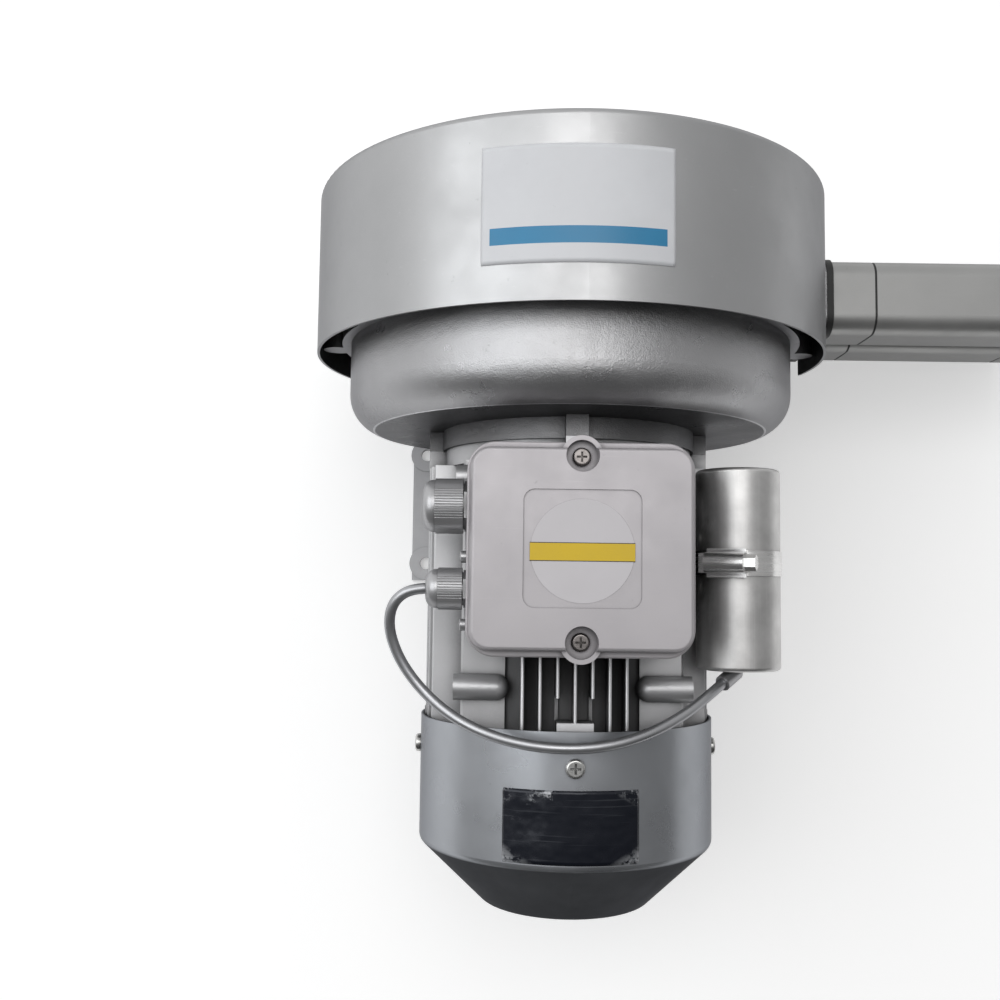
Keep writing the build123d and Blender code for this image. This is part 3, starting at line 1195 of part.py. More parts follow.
with BuildPart() as terminal_lid:
    rounded_block(
        LID_BASE, LID_RIM_HEIGHT, LID_RIM_WIDTH, LID_RIM_DEPTH, BOX_CORNER + 2, (0, BOX_Y)
    )
    fillet(terminal_lid.edges().group_by(Axis.Z)[-1], 1.0)
    with BuildSketch(Plane.XY.offset(LID_BASE + LID_RIM_HEIGHT)):
        with Locations((0, BOX_Y)):
            RectangleRounded(
                LID_TOP_WIDTH + 2 * LID_DRAFT, LID_TOP_DEPTH + 2 * LID_DRAFT, BOX_CORNER - 2
            )
    extrude(amount=LID_RAISE, taper=degrees(atan2(LID_DRAFT, LID_RAISE)))
    fillet(terminal_lid.faces().sort_by(Axis.Z)[-1].edges(), LID_EDGE)
    with Locations((0, BOX_Y, LID_BASE + LID_LOBE_HEIGHT / 2)):
        with GridLocations(0, LID_SCREW_SPACING, 1, 2):
            Cylinder(LID_LOBE_R, LID_LOBE_HEIGHT)
    with BuildSketch(Plane.XY.offset(LID_BASE)):
        with Locations((0, BOX_Y)):
            RectangleRounded(
                LID_TOP_WIDTH - 2 * LID_WALL, LID_TOP_DEPTH - 2 * LID_WALL, BOX_CORNER - 2 * LID_WALL
            )
            with GridLocations(0, LID_SCREW_SPACING, 1, 2):
                Circle(LID_POCKET_R + LID_WALL, mode=Mode.SUBTRACT)
    extrude(amount=LID_TOP - LID_WALL - LID_BASE, mode=Mode.SUBTRACT)
    with BuildSketch(Plane.XY.offset(LID_SEAT)):
        with Locations((0, BOX_Y)):
            with GridLocations(0, LID_SCREW_SPACING, 1, 2):
                Circle(LID_POCKET_R)
    extrude(amount=LID_TOP - LID_SEAT + 1, mode=Mode.SUBTRACT)
    rounded_block(
        LID_TOP - LID_PANEL_DEPTH,
        2 * LID_PANEL_DEPTH,
        LID_PANEL,
        LID_PANEL,
        LID_PANEL_CORNER,
        (0, BOX_Y),
        mode=Mode.SUBTRACT,
    )
    with Locations((0, BOX_Y, LID_BASE)):
        with GridLocations(0, LID_SCREW_SPACING, 1, 2):
            Cylinder(LID_SCREW_R + FIT_GAP, 4 * LID_RIM_HEIGHT, mode=Mode.SUBTRACT)
save(terminal_lid, "terminal_lid")

with BuildPart() as lid_screws:
    with Locations(Location((0, BOX_Y, LID_SEAT))):
        with GridLocations(0, LID_SCREW_SPACING, 1, 2):
            length = LID_SEAT - BOX_RIM + LID_SCREW_BITE - 1
            add(screw(LID_SCREW_R, length, LID_SCREW_HEAD_R, 3.0, hexagonal=False))
save(lid_screws, "lid_screws")

with BuildPart() as terminal_block:
    block_base = BOX_FLOOR + BOX_WALL
    with Locations((BLOCK_X, BOX_Y, block_base + BLOCK_HEIGHT / 2)):
        Box(BLOCK_WIDTH, BLOCK_DEPTH, BLOCK_HEIGHT)
        chamfer(terminal_block.edges().group_by(Axis.Z)[-1], 1)
    with Locations((BLOCK_X, BOX_Y, block_base + BLOCK_HEIGHT)):
        with GridLocations(0, BLOCK_DEPTH / 3, 1, 2):
            Box(BLOCK_WIDTH, 2, 5)
        with GridLocations(BLOCK_WIDTH / 2, BLOCK_DEPTH / 3, 2, 3):
            Cylinder(STUD_R + SEAT_GAP, 2 * BLOCK_HEIGHT - 4, mode=Mode.SUBTRACT)
save(terminal_block, "terminal_block")

with BuildPart() as terminal_studs:
    with Locations(Location((BLOCK_X, BOX_Y, block_base + BLOCK_HEIGHT))):
        with GridLocations(BLOCK_WIDTH / 2, BLOCK_DEPTH / 3, 2, 3):
            add(screw(STUD_R, BLOCK_HEIGHT - 2.5, 4.2, 3.6))
    with Locations(Location((BLOCK_X, BOX_Y, block_base + BLOCK_HEIGHT + STUD_HEIGHT / 2))):
        with GridLocations(BLOCK_WIDTH / 2, BLOCK_DEPTH / 3, 2, 3):
            Cylinder(STUD_R, STUD_HEIGHT)
save(terminal_studs, "terminal_studs")


with BuildPart() as gland_bodies:
    for gland_y, thread_r, nut_r, nut_length, cable_r in GLANDS:
        body_end = NUT_START - nut_length + GLAND_BODY_INSET
        with BuildSketch(sideways(WALL_FACE, gland_y, GLAND_Z)):
            RegularPolygon(nut_r - GLAND_HEX_INSET, 6)
        extrude(amount=-GLAND_COLLAR)
        with BuildSketch(sideways(GLAND_THREAD_END, gland_y, GLAND_Z)):
            Circle(thread_r)
        extrude(amount=WALL_FACE - GLAND_THREAD_END)
        with BuildSketch(sideways(WALL_FACE - GLAND_COLLAR, gland_y, GLAND_Z)):
            Circle(nut_r - GLAND_NUT_WALL)
        extrude(amount=body_end - WALL_FACE + GLAND_COLLAR)
        with BuildSketch(sideways(body_end, gland_y, GLAND_Z)):
            Circle(nut_r - GLAND_NUT_WALL - GLAND_SLEEVE)
        extrude(amount=nut_length - GLAND_SEAT_DEPTH, mode=Mode.SUBTRACT)
        with BuildSketch(sideways(body_end, gland_y, GLAND_Z)):
            Circle(cable_r + 1)
        extrude(amount=3 * nut_length, mode=Mode.SUBTRACT)
save(gland_bodies, "gland_bodies")

with BuildPart() as gland_locknuts:
    for gland_y, thread_r, *_ in GLANDS:
        with BuildSketch(sideways(WALL_FACE + BOX_WALL, gland_y, GLAND_Z)):
            RegularPolygon(thread_r + GLAND_LOCKNUT_RIM, 6)
            Circle(thread_r + SEAT_GAP, mode=Mode.SUBTRACT)
        extrude(amount=GLAND_LOCKNUT)
save(gland_locknuts, "gland_locknuts")

with BuildPart() as gland_seals:
    for gland_y, thread_r, nut_r, nut_length, cable_r in GLANDS:
        body_end = NUT_START - nut_length + GLAND_BODY_INSET
        with BuildSketch(sideways(body_end, gland_y, GLAND_Z)):
            Circle(nut_r - GLAND_NUT_WALL - GLAND_SLEEVE - SEAT_GAP)
            Circle(cable_r + FIT_GAP, mode=Mode.SUBTRACT)
        extrude(amount=nut_length - GLAND_SEAT_DEPTH - SEAT_GAP)
save(gland_seals, "gland_seals")


def make_gland_nut(gland_y, nut_r, nut_length, cable_r, name):
    """A gland's cap nut, with three ribbed grips and a domed end."""
    nut_end = NUT_START - nut_length
    dome_end = nut_end - GLAND_DOME_LENGTH
    ribs = round(radians(RIB_SECTOR) * nut_r / RIB_SPACING)
    with BuildPart() as nut:
        with BuildSketch(sideways(NUT_START, gland_y, GLAND_Z)):
            Circle(nut_r)
            for grip in range(3):
                start = 120 * grip + 90 - RIB_SECTOR / 2
                with PolarLocations(nut_r, ribs, start_angle=start, angular_range=RIB_SECTOR):
                    Circle(RIB_DEPTH, mode=Mode.SUBTRACT)
        extrude(amount=-nut_length)
        with BuildSketch(sideways(nut_end, gland_y, GLAND_Z)):
            Circle(nut_r - GLAND_DOME_STEP)
        extrude(amount=-GLAND_DOME_LENGTH)
        fillet(nut.edges().filter_by(GeomType.CIRCLE).sort_by(Axis.X)[0], GLAND_DOME_LENGTH - 1)
        with BuildSketch(sideways(NUT_START, gland_y, GLAND_Z)):
            Circle(nut_r - GLAND_NUT_WALL + FIT_GAP)
        extrude(amount=GLAND_BODY_INSET - nut_length, mode=Mode.SUBTRACT)
        with BuildSketch(sideways(dome_end - 1, gland_y, GLAND_Z)):
            Circle(cable_r + GLAND_MOUTH_GAP)
        extrude(amount=GLAND_DOME_LENGTH + GLAND_BODY_INSET + 2, mode=Mode.SUBTRACT)
    save(nut, name)


make_gland_nut(
    SUPPLY_GLAND_Y, SUPPLY_GLAND_R, SUPPLY_NUT_LENGTH, SUPPLY_CABLE_R, "supply_gland_nut"
)
make_gland_nut(
    CAPACITOR_GLAND_Y, CAPACITOR_GLAND_R, CAPACITOR_NUT_LENGTH, CABLE_R, "capacitor_gland_nut"
)

# Capacitor, its saddle and worm clamp
with BuildPart() as capacitor_can:
    with BuildSketch(across(CAPACITOR_FRONT, CAPACITOR_X, CAPACITOR_Z)):
        Circle(CAPACITOR_R)
    extrude(amount=CAPACITOR_LENGTH)
    fillet(capacitor_can.edges().filter_by(GeomType.CIRCLE), 2.5)
    with BuildSketch(across(CAPACITOR_REAR + CAPACITOR_CAP, CAPACITOR_X, CAPACITOR_Z)):
        Circle(CAPACITOR_R - CAPACITOR_LIP)
    extrude(amount=CAPACITOR_CAP + 1, mode=Mode.SUBTRACT)
    with BuildSketch(across(CAPACITOR_FRONT - CAPACITOR_WALL, CAPACITOR_X, CAPACITOR_Z)):
        Circle(CAPACITOR_R - CAPACITOR_LIP)
    extrude(amount=CAPACITOR_LENGTH - CAPACITOR_CAP - CAPACITOR_WALL, mode=Mode.SUBTRACT)
save(capacitor_can, "capacitor_can")

with BuildPart() as capacitor_winding:
    with BuildSketch(across(CAPACITOR_FRONT - CAPACITOR_WALL, CAPACITOR_X, CAPACITOR_Z)):
        Circle(CAPACITOR_R - CAPACITOR_LIP - SEAT_GAP)
        Circle(4, mode=Mode.SUBTRACT)
    extrude(amount=CAPACITOR_LENGTH - CAPACITOR_CAP - CAPACITOR_WALL)
save(capacitor_winding, "capacitor_winding")

with BuildPart() as capacitor_end_cap:
    with BuildSketch(across(CAPACITOR_REAR + CAP_RECESS, CAPACITOR_X, CAPACITOR_Z)):
        Circle(CAPACITOR_R - CAPACITOR_LIP - SEAT_GAP)
    extrude(amount=CAP_RECESS - CAPACITOR_CAP)
    with BuildSketch(CABLE_TAIL_PLANE):
        Circle(CABLE_R + NOZZLE_WALL)
    extrude(amount=NOZZLE_LENGTH)
save(capacitor_end_cap, "capacitor_end_cap")

with BuildPart() as capacitor_bracket:
    with BuildSketch(across(CLAMP_STATION + BRACKET_LENGTH / 2)):
        with Locations((PAD_X + BRACKET_PLATE / 2, CAPACITOR_RISE)):
            Rectangle(BRACKET_PLATE, BRACKET_HEIGHT)
        with Locations((PAD_X + BRACKET_DEPTH / 2, CAPACITOR_RISE - BRACKET_HEIGHT / 2)):
            Rectangle(
                BRACKET_DEPTH, BRACKET_HEIGHT / 2 - SADDLE_DROP, align=(Align.CENTER, Align.MIN)
            )
        with Locations((CAPACITOR_X, CAPACITOR_RISE)):
            Circle(CAPACITOR_R + SEAT_GAP, mode=Mode.SUBTRACT)
    extrude(amount=BRACKET_LENGTH)
    with BuildSketch(across(CLAMP_STATION + BAND_WIDTH / 2 + 0.5, CAPACITOR_X, CAPACITOR_Z)):
        Circle(CAPACITOR_R + BAND_THICKNESS + 2 * FIT_GAP)
    extrude(amount=BAND_WIDTH + 1, mode=Mode.SUBTRACT)
    for end in (-1, 1):
        station = CLAMP_STATION + end * BRACKET_SCREW_Y
        with BuildSketch(sideways(PAD_X, station, CAPACITOR_Z - BRACKET_SCREW_DROP)):
            Circle(BRACKET_SCREW_R + FIT_GAP)
        extrude(amount=BRACKET_PLATE, mode=Mode.SUBTRACT)
save(capacitor_bracket, "capacitor_bracket")

with BuildPart() as bracket_screws:
    for end in (-1, 1):
        station = CLAMP_STATION + end * BRACKET_SCREW_Y
        with Locations(sideways(PAD_X + BRACKET_PLATE, station, CAPACITOR_Z - BRACKET_SCREW_DROP)):
            length = BRACKET_PLATE + BRACKET_SCREW_BITE - 1
            add(screw(BRACKET_SCREW_R, length, BRACKET_SCREW_HEAD_R, 2.6, hexagonal=False))
save(bracket_screws, "bracket_screws")

with BuildPart() as clamp_band:
    with BuildSketch(across(CLAMP_STATION + BAND_WIDTH / 2, CAPACITOR_X, CAPACITOR_Z)):
        Circle(CAPACITOR_R + BAND_THICKNESS)
        Circle(CAPACITOR_R, mode=Mode.SUBTRACT)
    extrude(amount=BAND_WIDTH)
    with Locations(CLAMP_PLANE):
        with Locations((-BAND_TAIL / 2, 0, TAIL_TOP)):
            Box(
                WORM_LENGTH + BAND_TAIL,
                BAND_WIDTH - 3,
                BAND_THICKNESS,
                align=(Align.CENTER, Align.CENTER, Align.MAX),
            )
    for index in range(BAND_SLOTS):
        angle = radians(90 + CLAMP_TILT + BAND_SLOT_START + index * BAND_SLOT_PITCH)
        slot_plane = radial_plane(CLAMP_STATION, CAPACITOR_R, angle, CAPACITOR_X, CAPACITOR_Z)
        with Locations(slot_plane):
            Box(BAND_SLOT_LENGTH, BAND_SLOT_WIDTH, 4 * BAND_THICKNESS, mode=Mode.SUBTRACT)
save(clamp_band, "clamp_band")

with BuildPart() as clamp_housing:
    with BuildSketch(worm_plane(-WORM_LENGTH / 2)):
        Circle(WORM_R + WORM_WALL)
        with Locations((0, -WORM_R)):
            Rectangle(BAND_WIDTH - 2.4, 2 * WORM_R)
        with Locations((0, TAIL_TOP - WORM_RISE - WORM_R)):
            Rectangle(2 * BAND_WIDTH, 2 * WORM_R, mode=Mode.SUBTRACT)
        Circle(WORM_R - 1 + FIT_GAP, mode=Mode.SUBTRACT)
    extrude(amount=WORM_LENGTH)
    with Locations(CLAMP_PLANE):
        with Locations((0, 0, TAIL_TOP + BAND_THICKNESS / 2)):
            Box(WORM_LENGTH, BAND_WIDTH + 2, BAND_THICKNESS)
save(clamp_housing, "clamp_housing")

with BuildPart() as clamp_screw:
    with Locations(worm_plane(WORM_LENGTH / 2)):
        add(screw(WORM_R - 1, WORM_LENGTH - 1, WORM_HEAD_R, WORM_HEAD_LENGTH))
save(clamp_screw, "clamp_screw")

# Ducts: for each port a grommet, a collar, a gasket, a silencer, its lining and the port flange
with BuildPart() as port_collars:
    for centre_z in DUCT_LEVELS:
        duct_section(COLLAR_START, COLLAR_END - COLLAR_START, centre_z)
save(port_collars, "port_collars")

with BuildPart() as silencers:
    for centre_z in DUCT_LEVELS:
        duct_section(SILENCER_START, SILENCER_LENGTH, centre_z)
save(silencers, "silencers")

with BuildPart() as silencer_linings:
    for centre_z in DUCT_LEVELS:
        with BuildSketch(sideways(SILENCER_START + LINING_INSET, DUCT_Y, centre_z)):
            RectangleRounded(
                DUCT_WIDTH - 2 * DUCT_WALL - FOAM_GAP,
                DUCT_HEIGHT - 2 * DUCT_WALL - FOAM_GAP,
                DUCT_BORE_CORNER - FOAM_GAP / 2,
            )
            Circle(FOAM_BORE_R, mode=Mode.SUBTRACT)
        extrude(amount=FOAM_LENGTH)
save(silencer_linings, "silencer_linings")

with BuildPart() as port_flanges:
    for centre_z in DUCT_LEVELS:
        with BuildSketch(sideways(FLANGE_START, DUCT_Y, centre_z)) as plate:
            RectangleRounded(DUCT_WIDTH, DUCT_HEIGHT, DUCT_CORNER)
            with GridLocations(ROD_SPACING_Y, ROD_SPACING_Z, 2, 2):
                Circle(DUCT_SCREW_R + FIT_GAP, mode=Mode.SUBTRACT)
        extrude(amount=PORT_FLANGE_THICKNESS)
        with BuildSketch(sideways(FLANGE_START + PORT_FLANGE_THICKNESS, DUCT_Y, centre_z)) as hub:
            Circle(PORT_HUB_R)
            RectangleRounded(DUCT_WIDTH, DUCT_HEIGHT, DUCT_CORNER, mode=Mode.INTERSECT)
            with GridLocations(ROD_SPACING_Y, ROD_SPACING_Z, 2, 2):
                Circle(ROD_HEAD_ROOM, mode=Mode.SUBTRACT)
        extrude(amount=PORT_HUB_LENGTH)
        with BuildSketch(sideways(FLANGE_START, DUCT_Y, centre_z)) as port:
            Circle(PORT_BORE_R)
        extrude(amount=PORT_FLANGE_THICKNESS + PORT_HUB_LENGTH, mode=Mode.SUBTRACT)
save(port_flanges, "port_flanges")

with BuildPart() as port_grommets:
    for centre_z in DUCT_LEVELS:
        duct_section(PORT_FACE, COLLAR_START - PORT_FACE, centre_z, grow=GROMMET_PROUD / 2)
save(port_grommets, "port_grommets")

with BuildPart() as duct_gaskets:
    for centre_z in DUCT_LEVELS:
        duct_section(COLLAR_END, DUCT_GASKET, centre_z, grow=-0.3)
        duct_section(SILENCER_START + SILENCER_LENGTH, DUCT_GASKET, centre_z, grow=-0.3)
save(duct_gaskets, "duct_gaskets")

with BuildPart() as duct_tie_rods:
    for centre_z in DUCT_LEVELS:
        with Locations(sideways(FLANGE_START + PORT_FLANGE_THICKNESS, DUCT_Y, centre_z)):
            with GridLocations(ROD_SPACING_Y, ROD_SPACING_Z, 2, 2):
                add(screw(DUCT_SCREW_R, ROD_LENGTH, 3.5, 3.2))
save(duct_tie_rods, "duct_tie_rods")

# Drum cover, fixed to three bosses on the casing, with a notch for the ports
with BuildPart() as drum_cover:
    dish_front = DRUM_FRONT - DRUM_DISH_DEPTH
    with BuildSketch(SHAFT_PLANE) as drum_section:
        with BuildLine():
            Polyline(
                (DRUM_REAR, DRUM_R),
                (DRUM_FRONT, DRUM_R),
                (DRUM_FRONT, DRUM_DISH_R),
                (dish_front, DRUM_DISH_R - DRUM_DISH_DEPTH),
                (dish_front, 0),
                (DRUM_SEAT, 0),
                (DRUM_SEAT, DRUM_DISH_R - DRUM_DISH_DEPTH + DRUM_SHEET),
                (DRUM_FRONT - DRUM_SHEET, DRUM_DISH_R + DRUM_SHEET),
                (DRUM_FRONT - DRUM_SHEET, DRUM_R - DRUM_SHEET),
                (DRUM_REAR, DRUM_R - DRUM_SHEET),
                close=True,
            )
        make_face()
        fillet(drum_section.vertices().sort_by_distance((DRUM_FRONT, DRUM_R))[0], DRUM_CORNER)
        inner_corner = (DRUM_FRONT - DRUM_SHEET, DRUM_R - DRUM_SHEET)
        fillet(
            drum_section.vertices().sort_by_distance(inner_corner)[0], DRUM_CORNER - DRUM_SHEET
        )
    revolve(axis=SHAFT_AXIS)
    notch_front = DUCT_Y + DUCT_WIDTH / 2 + DRUM_CUT_MARGIN
    notch_height = 2 * DUCT_HEIGHT + DUCT_GAP + 2 * DRUM_CUT_MARGIN
    with Locations((DRUM_R, (DRUM_REAR + notch_front) / 2 - 1, (UPPER_DUCT_Z + LOWER_DUCT_Z) / 2)):
        Box(2 * DRUM_R, notch_front - DRUM_REAR + 2, notch_height, mode=Mode.SUBTRACT)
    with BuildSketch(across(DRUM_FRONT + 1)):
        for angle in DRUM_SCREW_ANGLES:
            with PolarLocations(DRUM_SCREW_CIRCLE_R, 1, start_angle=angle):
                Circle(DRUM_SCREW_R + FIT_GAP)
    extrude(amount=3 * DRUM_DISH_DEPTH, mode=Mode.SUBTRACT)
save(drum_cover, "drum_cover")

with BuildPart() as drum_screws:
    for angle in DRUM_SCREW_ANGLES:
        with Locations(facing_along(1, dish_front, DRUM_SCREW_CIRCLE_R, angle)):
            length = DRUM_SHEET + DRUM_SCREW_BITE - 1
            add(screw(DRUM_SCREW_R, length, DRUM_SCREW_HEAD_R, 3, hexagonal=False))
save(drum_screws, "drum_screws")

# Foot bracket: two floor rails, two walls and a front plate that carries the casing
with BuildPart() as foot_bracket:
    rail_inner = FOOT_WALL_X - FOOT_THICKNESS
    rail_width = FOOT_RAIL_OUTER_X - rail_inner
    for side in (-1, 1):
        with Locations((side * (rail_inner + rail_width / 2), 0, FOOT_THICKNESS / 2)):
            Box(rail_width, FOOT_RAIL_LENGTH, FOOT_THICKNESS)
        for end in (-1, 1):
            with Locations((side * FOOT_HOLE_X / 2, end * FOOT_HOLE_Y / 2, 0)):
                Cylinder(
                    FOOT_PAD_R,
                    FOOT_THICKNESS + FOOT_PAD_HEIGHT,
                    align=(Align.CENTER, Align.CENTER, Align.MIN),
                )
        wall_length = CASING_REAR - FOOT_WALL_REAR
        with BuildSketch(sideways(side * FOOT_WALL_X, 0, 0)):
            with BuildLine():
                Polyline(
                    (FOOT_WALL_REAR, 0),
                    (CASING_REAR, 0),
                    (CASING_REAR, FOOT_WALL_HEIGHT),
                    (CASING_REAR - wall_length * 0.45, FOOT_WALL_HEIGHT),
                    (FOOT_WALL_REAR, FOOT_WALL_HEIGHT * 0.3),
                    close=True,
                )
            make_face()
        extrude(amount=-side * FOOT_THICKNESS)
    with BuildSketch(across(CASING_REAR)):
        with Locations((0, FOOT_WALL_HEIGHT / 2 - AXIS_HEIGHT)):
            Rectangle(2 * FOOT_WALL_X, FOOT_WALL_HEIGHT)
        Circle(NECK_R + FOOT_NECK_CLEARANCE, mode=Mode.SUBTRACT)
        with PolarLocations((FLANGE_BAR_INNER_R + FLANGE_BAR_OUTER_R) / 2, 1, start_angle=-90):
            bar_room = 2 * FOOT_NECK_CLEARANCE
            Rectangle(
                FLANGE_BAR_OUTER_R - FLANGE_BAR_INNER_R + bar_room,
                FLANGE_BAR_WIDTH + bar_room,
                mode=Mode.SUBTRACT,
            )
        with Locations((0, FOOT_THICKNESS + FOOT_WINDOW_HEIGHT - AXIS_HEIGHT)):
            SlotOverall(FOOT_WINDOW_WIDTH, FOOT_WINDOW_HEIGHT, mode=Mode.SUBTRACT)
        for angle in FOOT_BOLT_ANGLES:
            with PolarLocations(FOOT_BOLT_CIRCLE_R, 1, start_angle=angle):
                Circle(FOOT_BOLT_R + FIT_GAP, mode=Mode.SUBTRACT)
    extrude(amount=FOOT_FRONT_PLATE)
    with Locations(Location((0, 0, FOOT_THICKNESS + FOOT_PAD_HEIGHT))):
        with GridLocations(FOOT_HOLE_X, FOOT_HOLE_Y, 2, 2):
            Hole(FOOT_HOLE_R)
save(foot_bracket, "foot_bracket")

with BuildPart() as foot_bracket_bolts:
    for angle in FOOT_BOLT_ANGLES:
        seat = CASING_REAR - FOOT_FRONT_PLATE
        with Locations(facing_along(-1, seat, FOOT_BOLT_CIRCLE_R, angle)):
            length = FOOT_FRONT_PLATE + FOOT_BOLT_BITE - 0.5
            add(screw(FOOT_BOLT_R, length, FOOT_BOLT_HEAD_R, FOOT_BOLT_HEAD))
save(foot_bracket_bolts, "foot_bracket_bolts")

# Capacitor lead, swept along straight runs joined by arcs
with BuildPart() as capacitor_cable:
    with BuildLine():
        FilletPolyline(*CABLE_ROUTE, radius=CABLE_BENDS)
    with BuildSketch(Plane(origin=CABLE_ROUTE[0], z_dir=CABLE_RUNS[0])):
        Circle(CABLE_R)
    sweep()
save(capacitor_cable, "capacitor_cable")
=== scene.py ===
"""Side channel blower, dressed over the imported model. Metres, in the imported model's frame."""

import math

import bpy
from mathutils import Matrix, Vector


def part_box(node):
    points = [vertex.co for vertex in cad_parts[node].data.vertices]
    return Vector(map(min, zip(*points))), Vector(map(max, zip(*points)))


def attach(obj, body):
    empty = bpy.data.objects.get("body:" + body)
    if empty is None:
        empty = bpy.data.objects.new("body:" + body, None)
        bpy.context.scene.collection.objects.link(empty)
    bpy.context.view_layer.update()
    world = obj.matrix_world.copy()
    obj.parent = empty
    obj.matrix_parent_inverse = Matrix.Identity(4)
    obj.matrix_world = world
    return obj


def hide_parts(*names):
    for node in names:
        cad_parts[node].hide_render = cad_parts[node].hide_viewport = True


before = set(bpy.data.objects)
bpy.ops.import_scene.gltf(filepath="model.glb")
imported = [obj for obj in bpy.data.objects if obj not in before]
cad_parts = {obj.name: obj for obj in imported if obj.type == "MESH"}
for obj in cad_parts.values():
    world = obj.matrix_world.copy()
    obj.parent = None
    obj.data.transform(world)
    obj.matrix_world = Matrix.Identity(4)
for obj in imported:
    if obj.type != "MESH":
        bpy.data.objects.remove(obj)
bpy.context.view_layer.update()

# The height of the shaft, and the outer radii of drum and cowl
AXIS_Z = 0.168
DRUM_R = 0.1566
COWL_R = 0.0886

WHITE = (1, 1, 1)


# --- Camera -------------------------------------------------------------------------------------
CAMERA_PLACE = (-0.04344, -0.05728, 0.84568)
CAMERA_LOOK = (0.00226, 0.07733, -0.997)
CAMERA_UP = (-0.01313, 0.99692, 0.0773)
CAMERA_SENSOR = 36
CAMERA_LENS = 39.032
CAMERA_CLIP = (0.01, 50)


def make_camera():
    """A camera that looks down on the blower, fitted to its circles and straight edges."""
    data = bpy.data.cameras.new("view")
    data.sensor_width = CAMERA_SENSOR
    data.lens = CAMERA_LENS
    data.clip_start, data.clip_end = CAMERA_CLIP
    camera = bpy.data.objects.new("view", data)
    bpy.context.collection.objects.link(camera)
    look = Vector(CAMERA_LOOK).normalized()
    right = look.cross(Vector(CAMERA_UP)).normalized()
    up = right.cross(look)
    turn = Matrix((right, up, -look)).transposed().to_4x4()
    camera.matrix_world = Matrix.Translation(CAMERA_PLACE) @ turn
    bpy.context.scene.camera = camera


make_camera()


# --- Cable --------------------------------------------------------------------------------------
# From the lower gland round to the capacitor's nozzle, in millimetres
CABLE_POINTS = [
    (-81.1, -60.0, 266.5),
    (-86.5, -60.4, 266.2),
    (-93.0, -62.6, 265.2),
    (-98.4, -67.8, 263.0),
    (-101.0, -76.0, 259.8),
    (-100.0, -87.0, 256.4),
    (-94.0, -101.0, 254.0),
    (-83.0, -115.0, 254.0),
    (-68.0, -127.5, 257.5),
    (-49.0, -136.5, 263.0),
    (-27.0, -141.8, 267.2),
    (-4.0, -143.4, 268.6),
    (19.0, -141.4, 267.0),
    (40.0, -135.5, 261.2),
    (59.0, -127.0, 251.0),
    (73.5, -118.5, 239.5),
    (84.5, -111.4, 229.8),
]
CABLE_RADIUS = 0.0029


def make_cable():
    """The lead as a round cord, in place of the solid one."""
    curve = bpy.data.curves.new("capacitor_lead", "CURVE")
    curve.dimensions = "3D"
    spline = curve.splines.new("NURBS")
    spline.points.add(len(CABLE_POINTS) - 1)
    for point, place in zip(spline.points, CABLE_POINTS):
        point.co = (*[v / 1000 for v in place], 1)
    spline.order_u = 3
    spline.use_endpoint_u = True
    spline.resolution_u = 12
    curve.bevel_depth = CABLE_RADIUS
    curve.bevel_resolution = 8
    curve.use_fill_caps = True
    lead = bpy.data.objects.new("capacitor_lead", curve)
    bpy.context.collection.objects.link(lead)
    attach(lead, "housing")
    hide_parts("capacitor_cable")
    return lead


cable = make_cable()


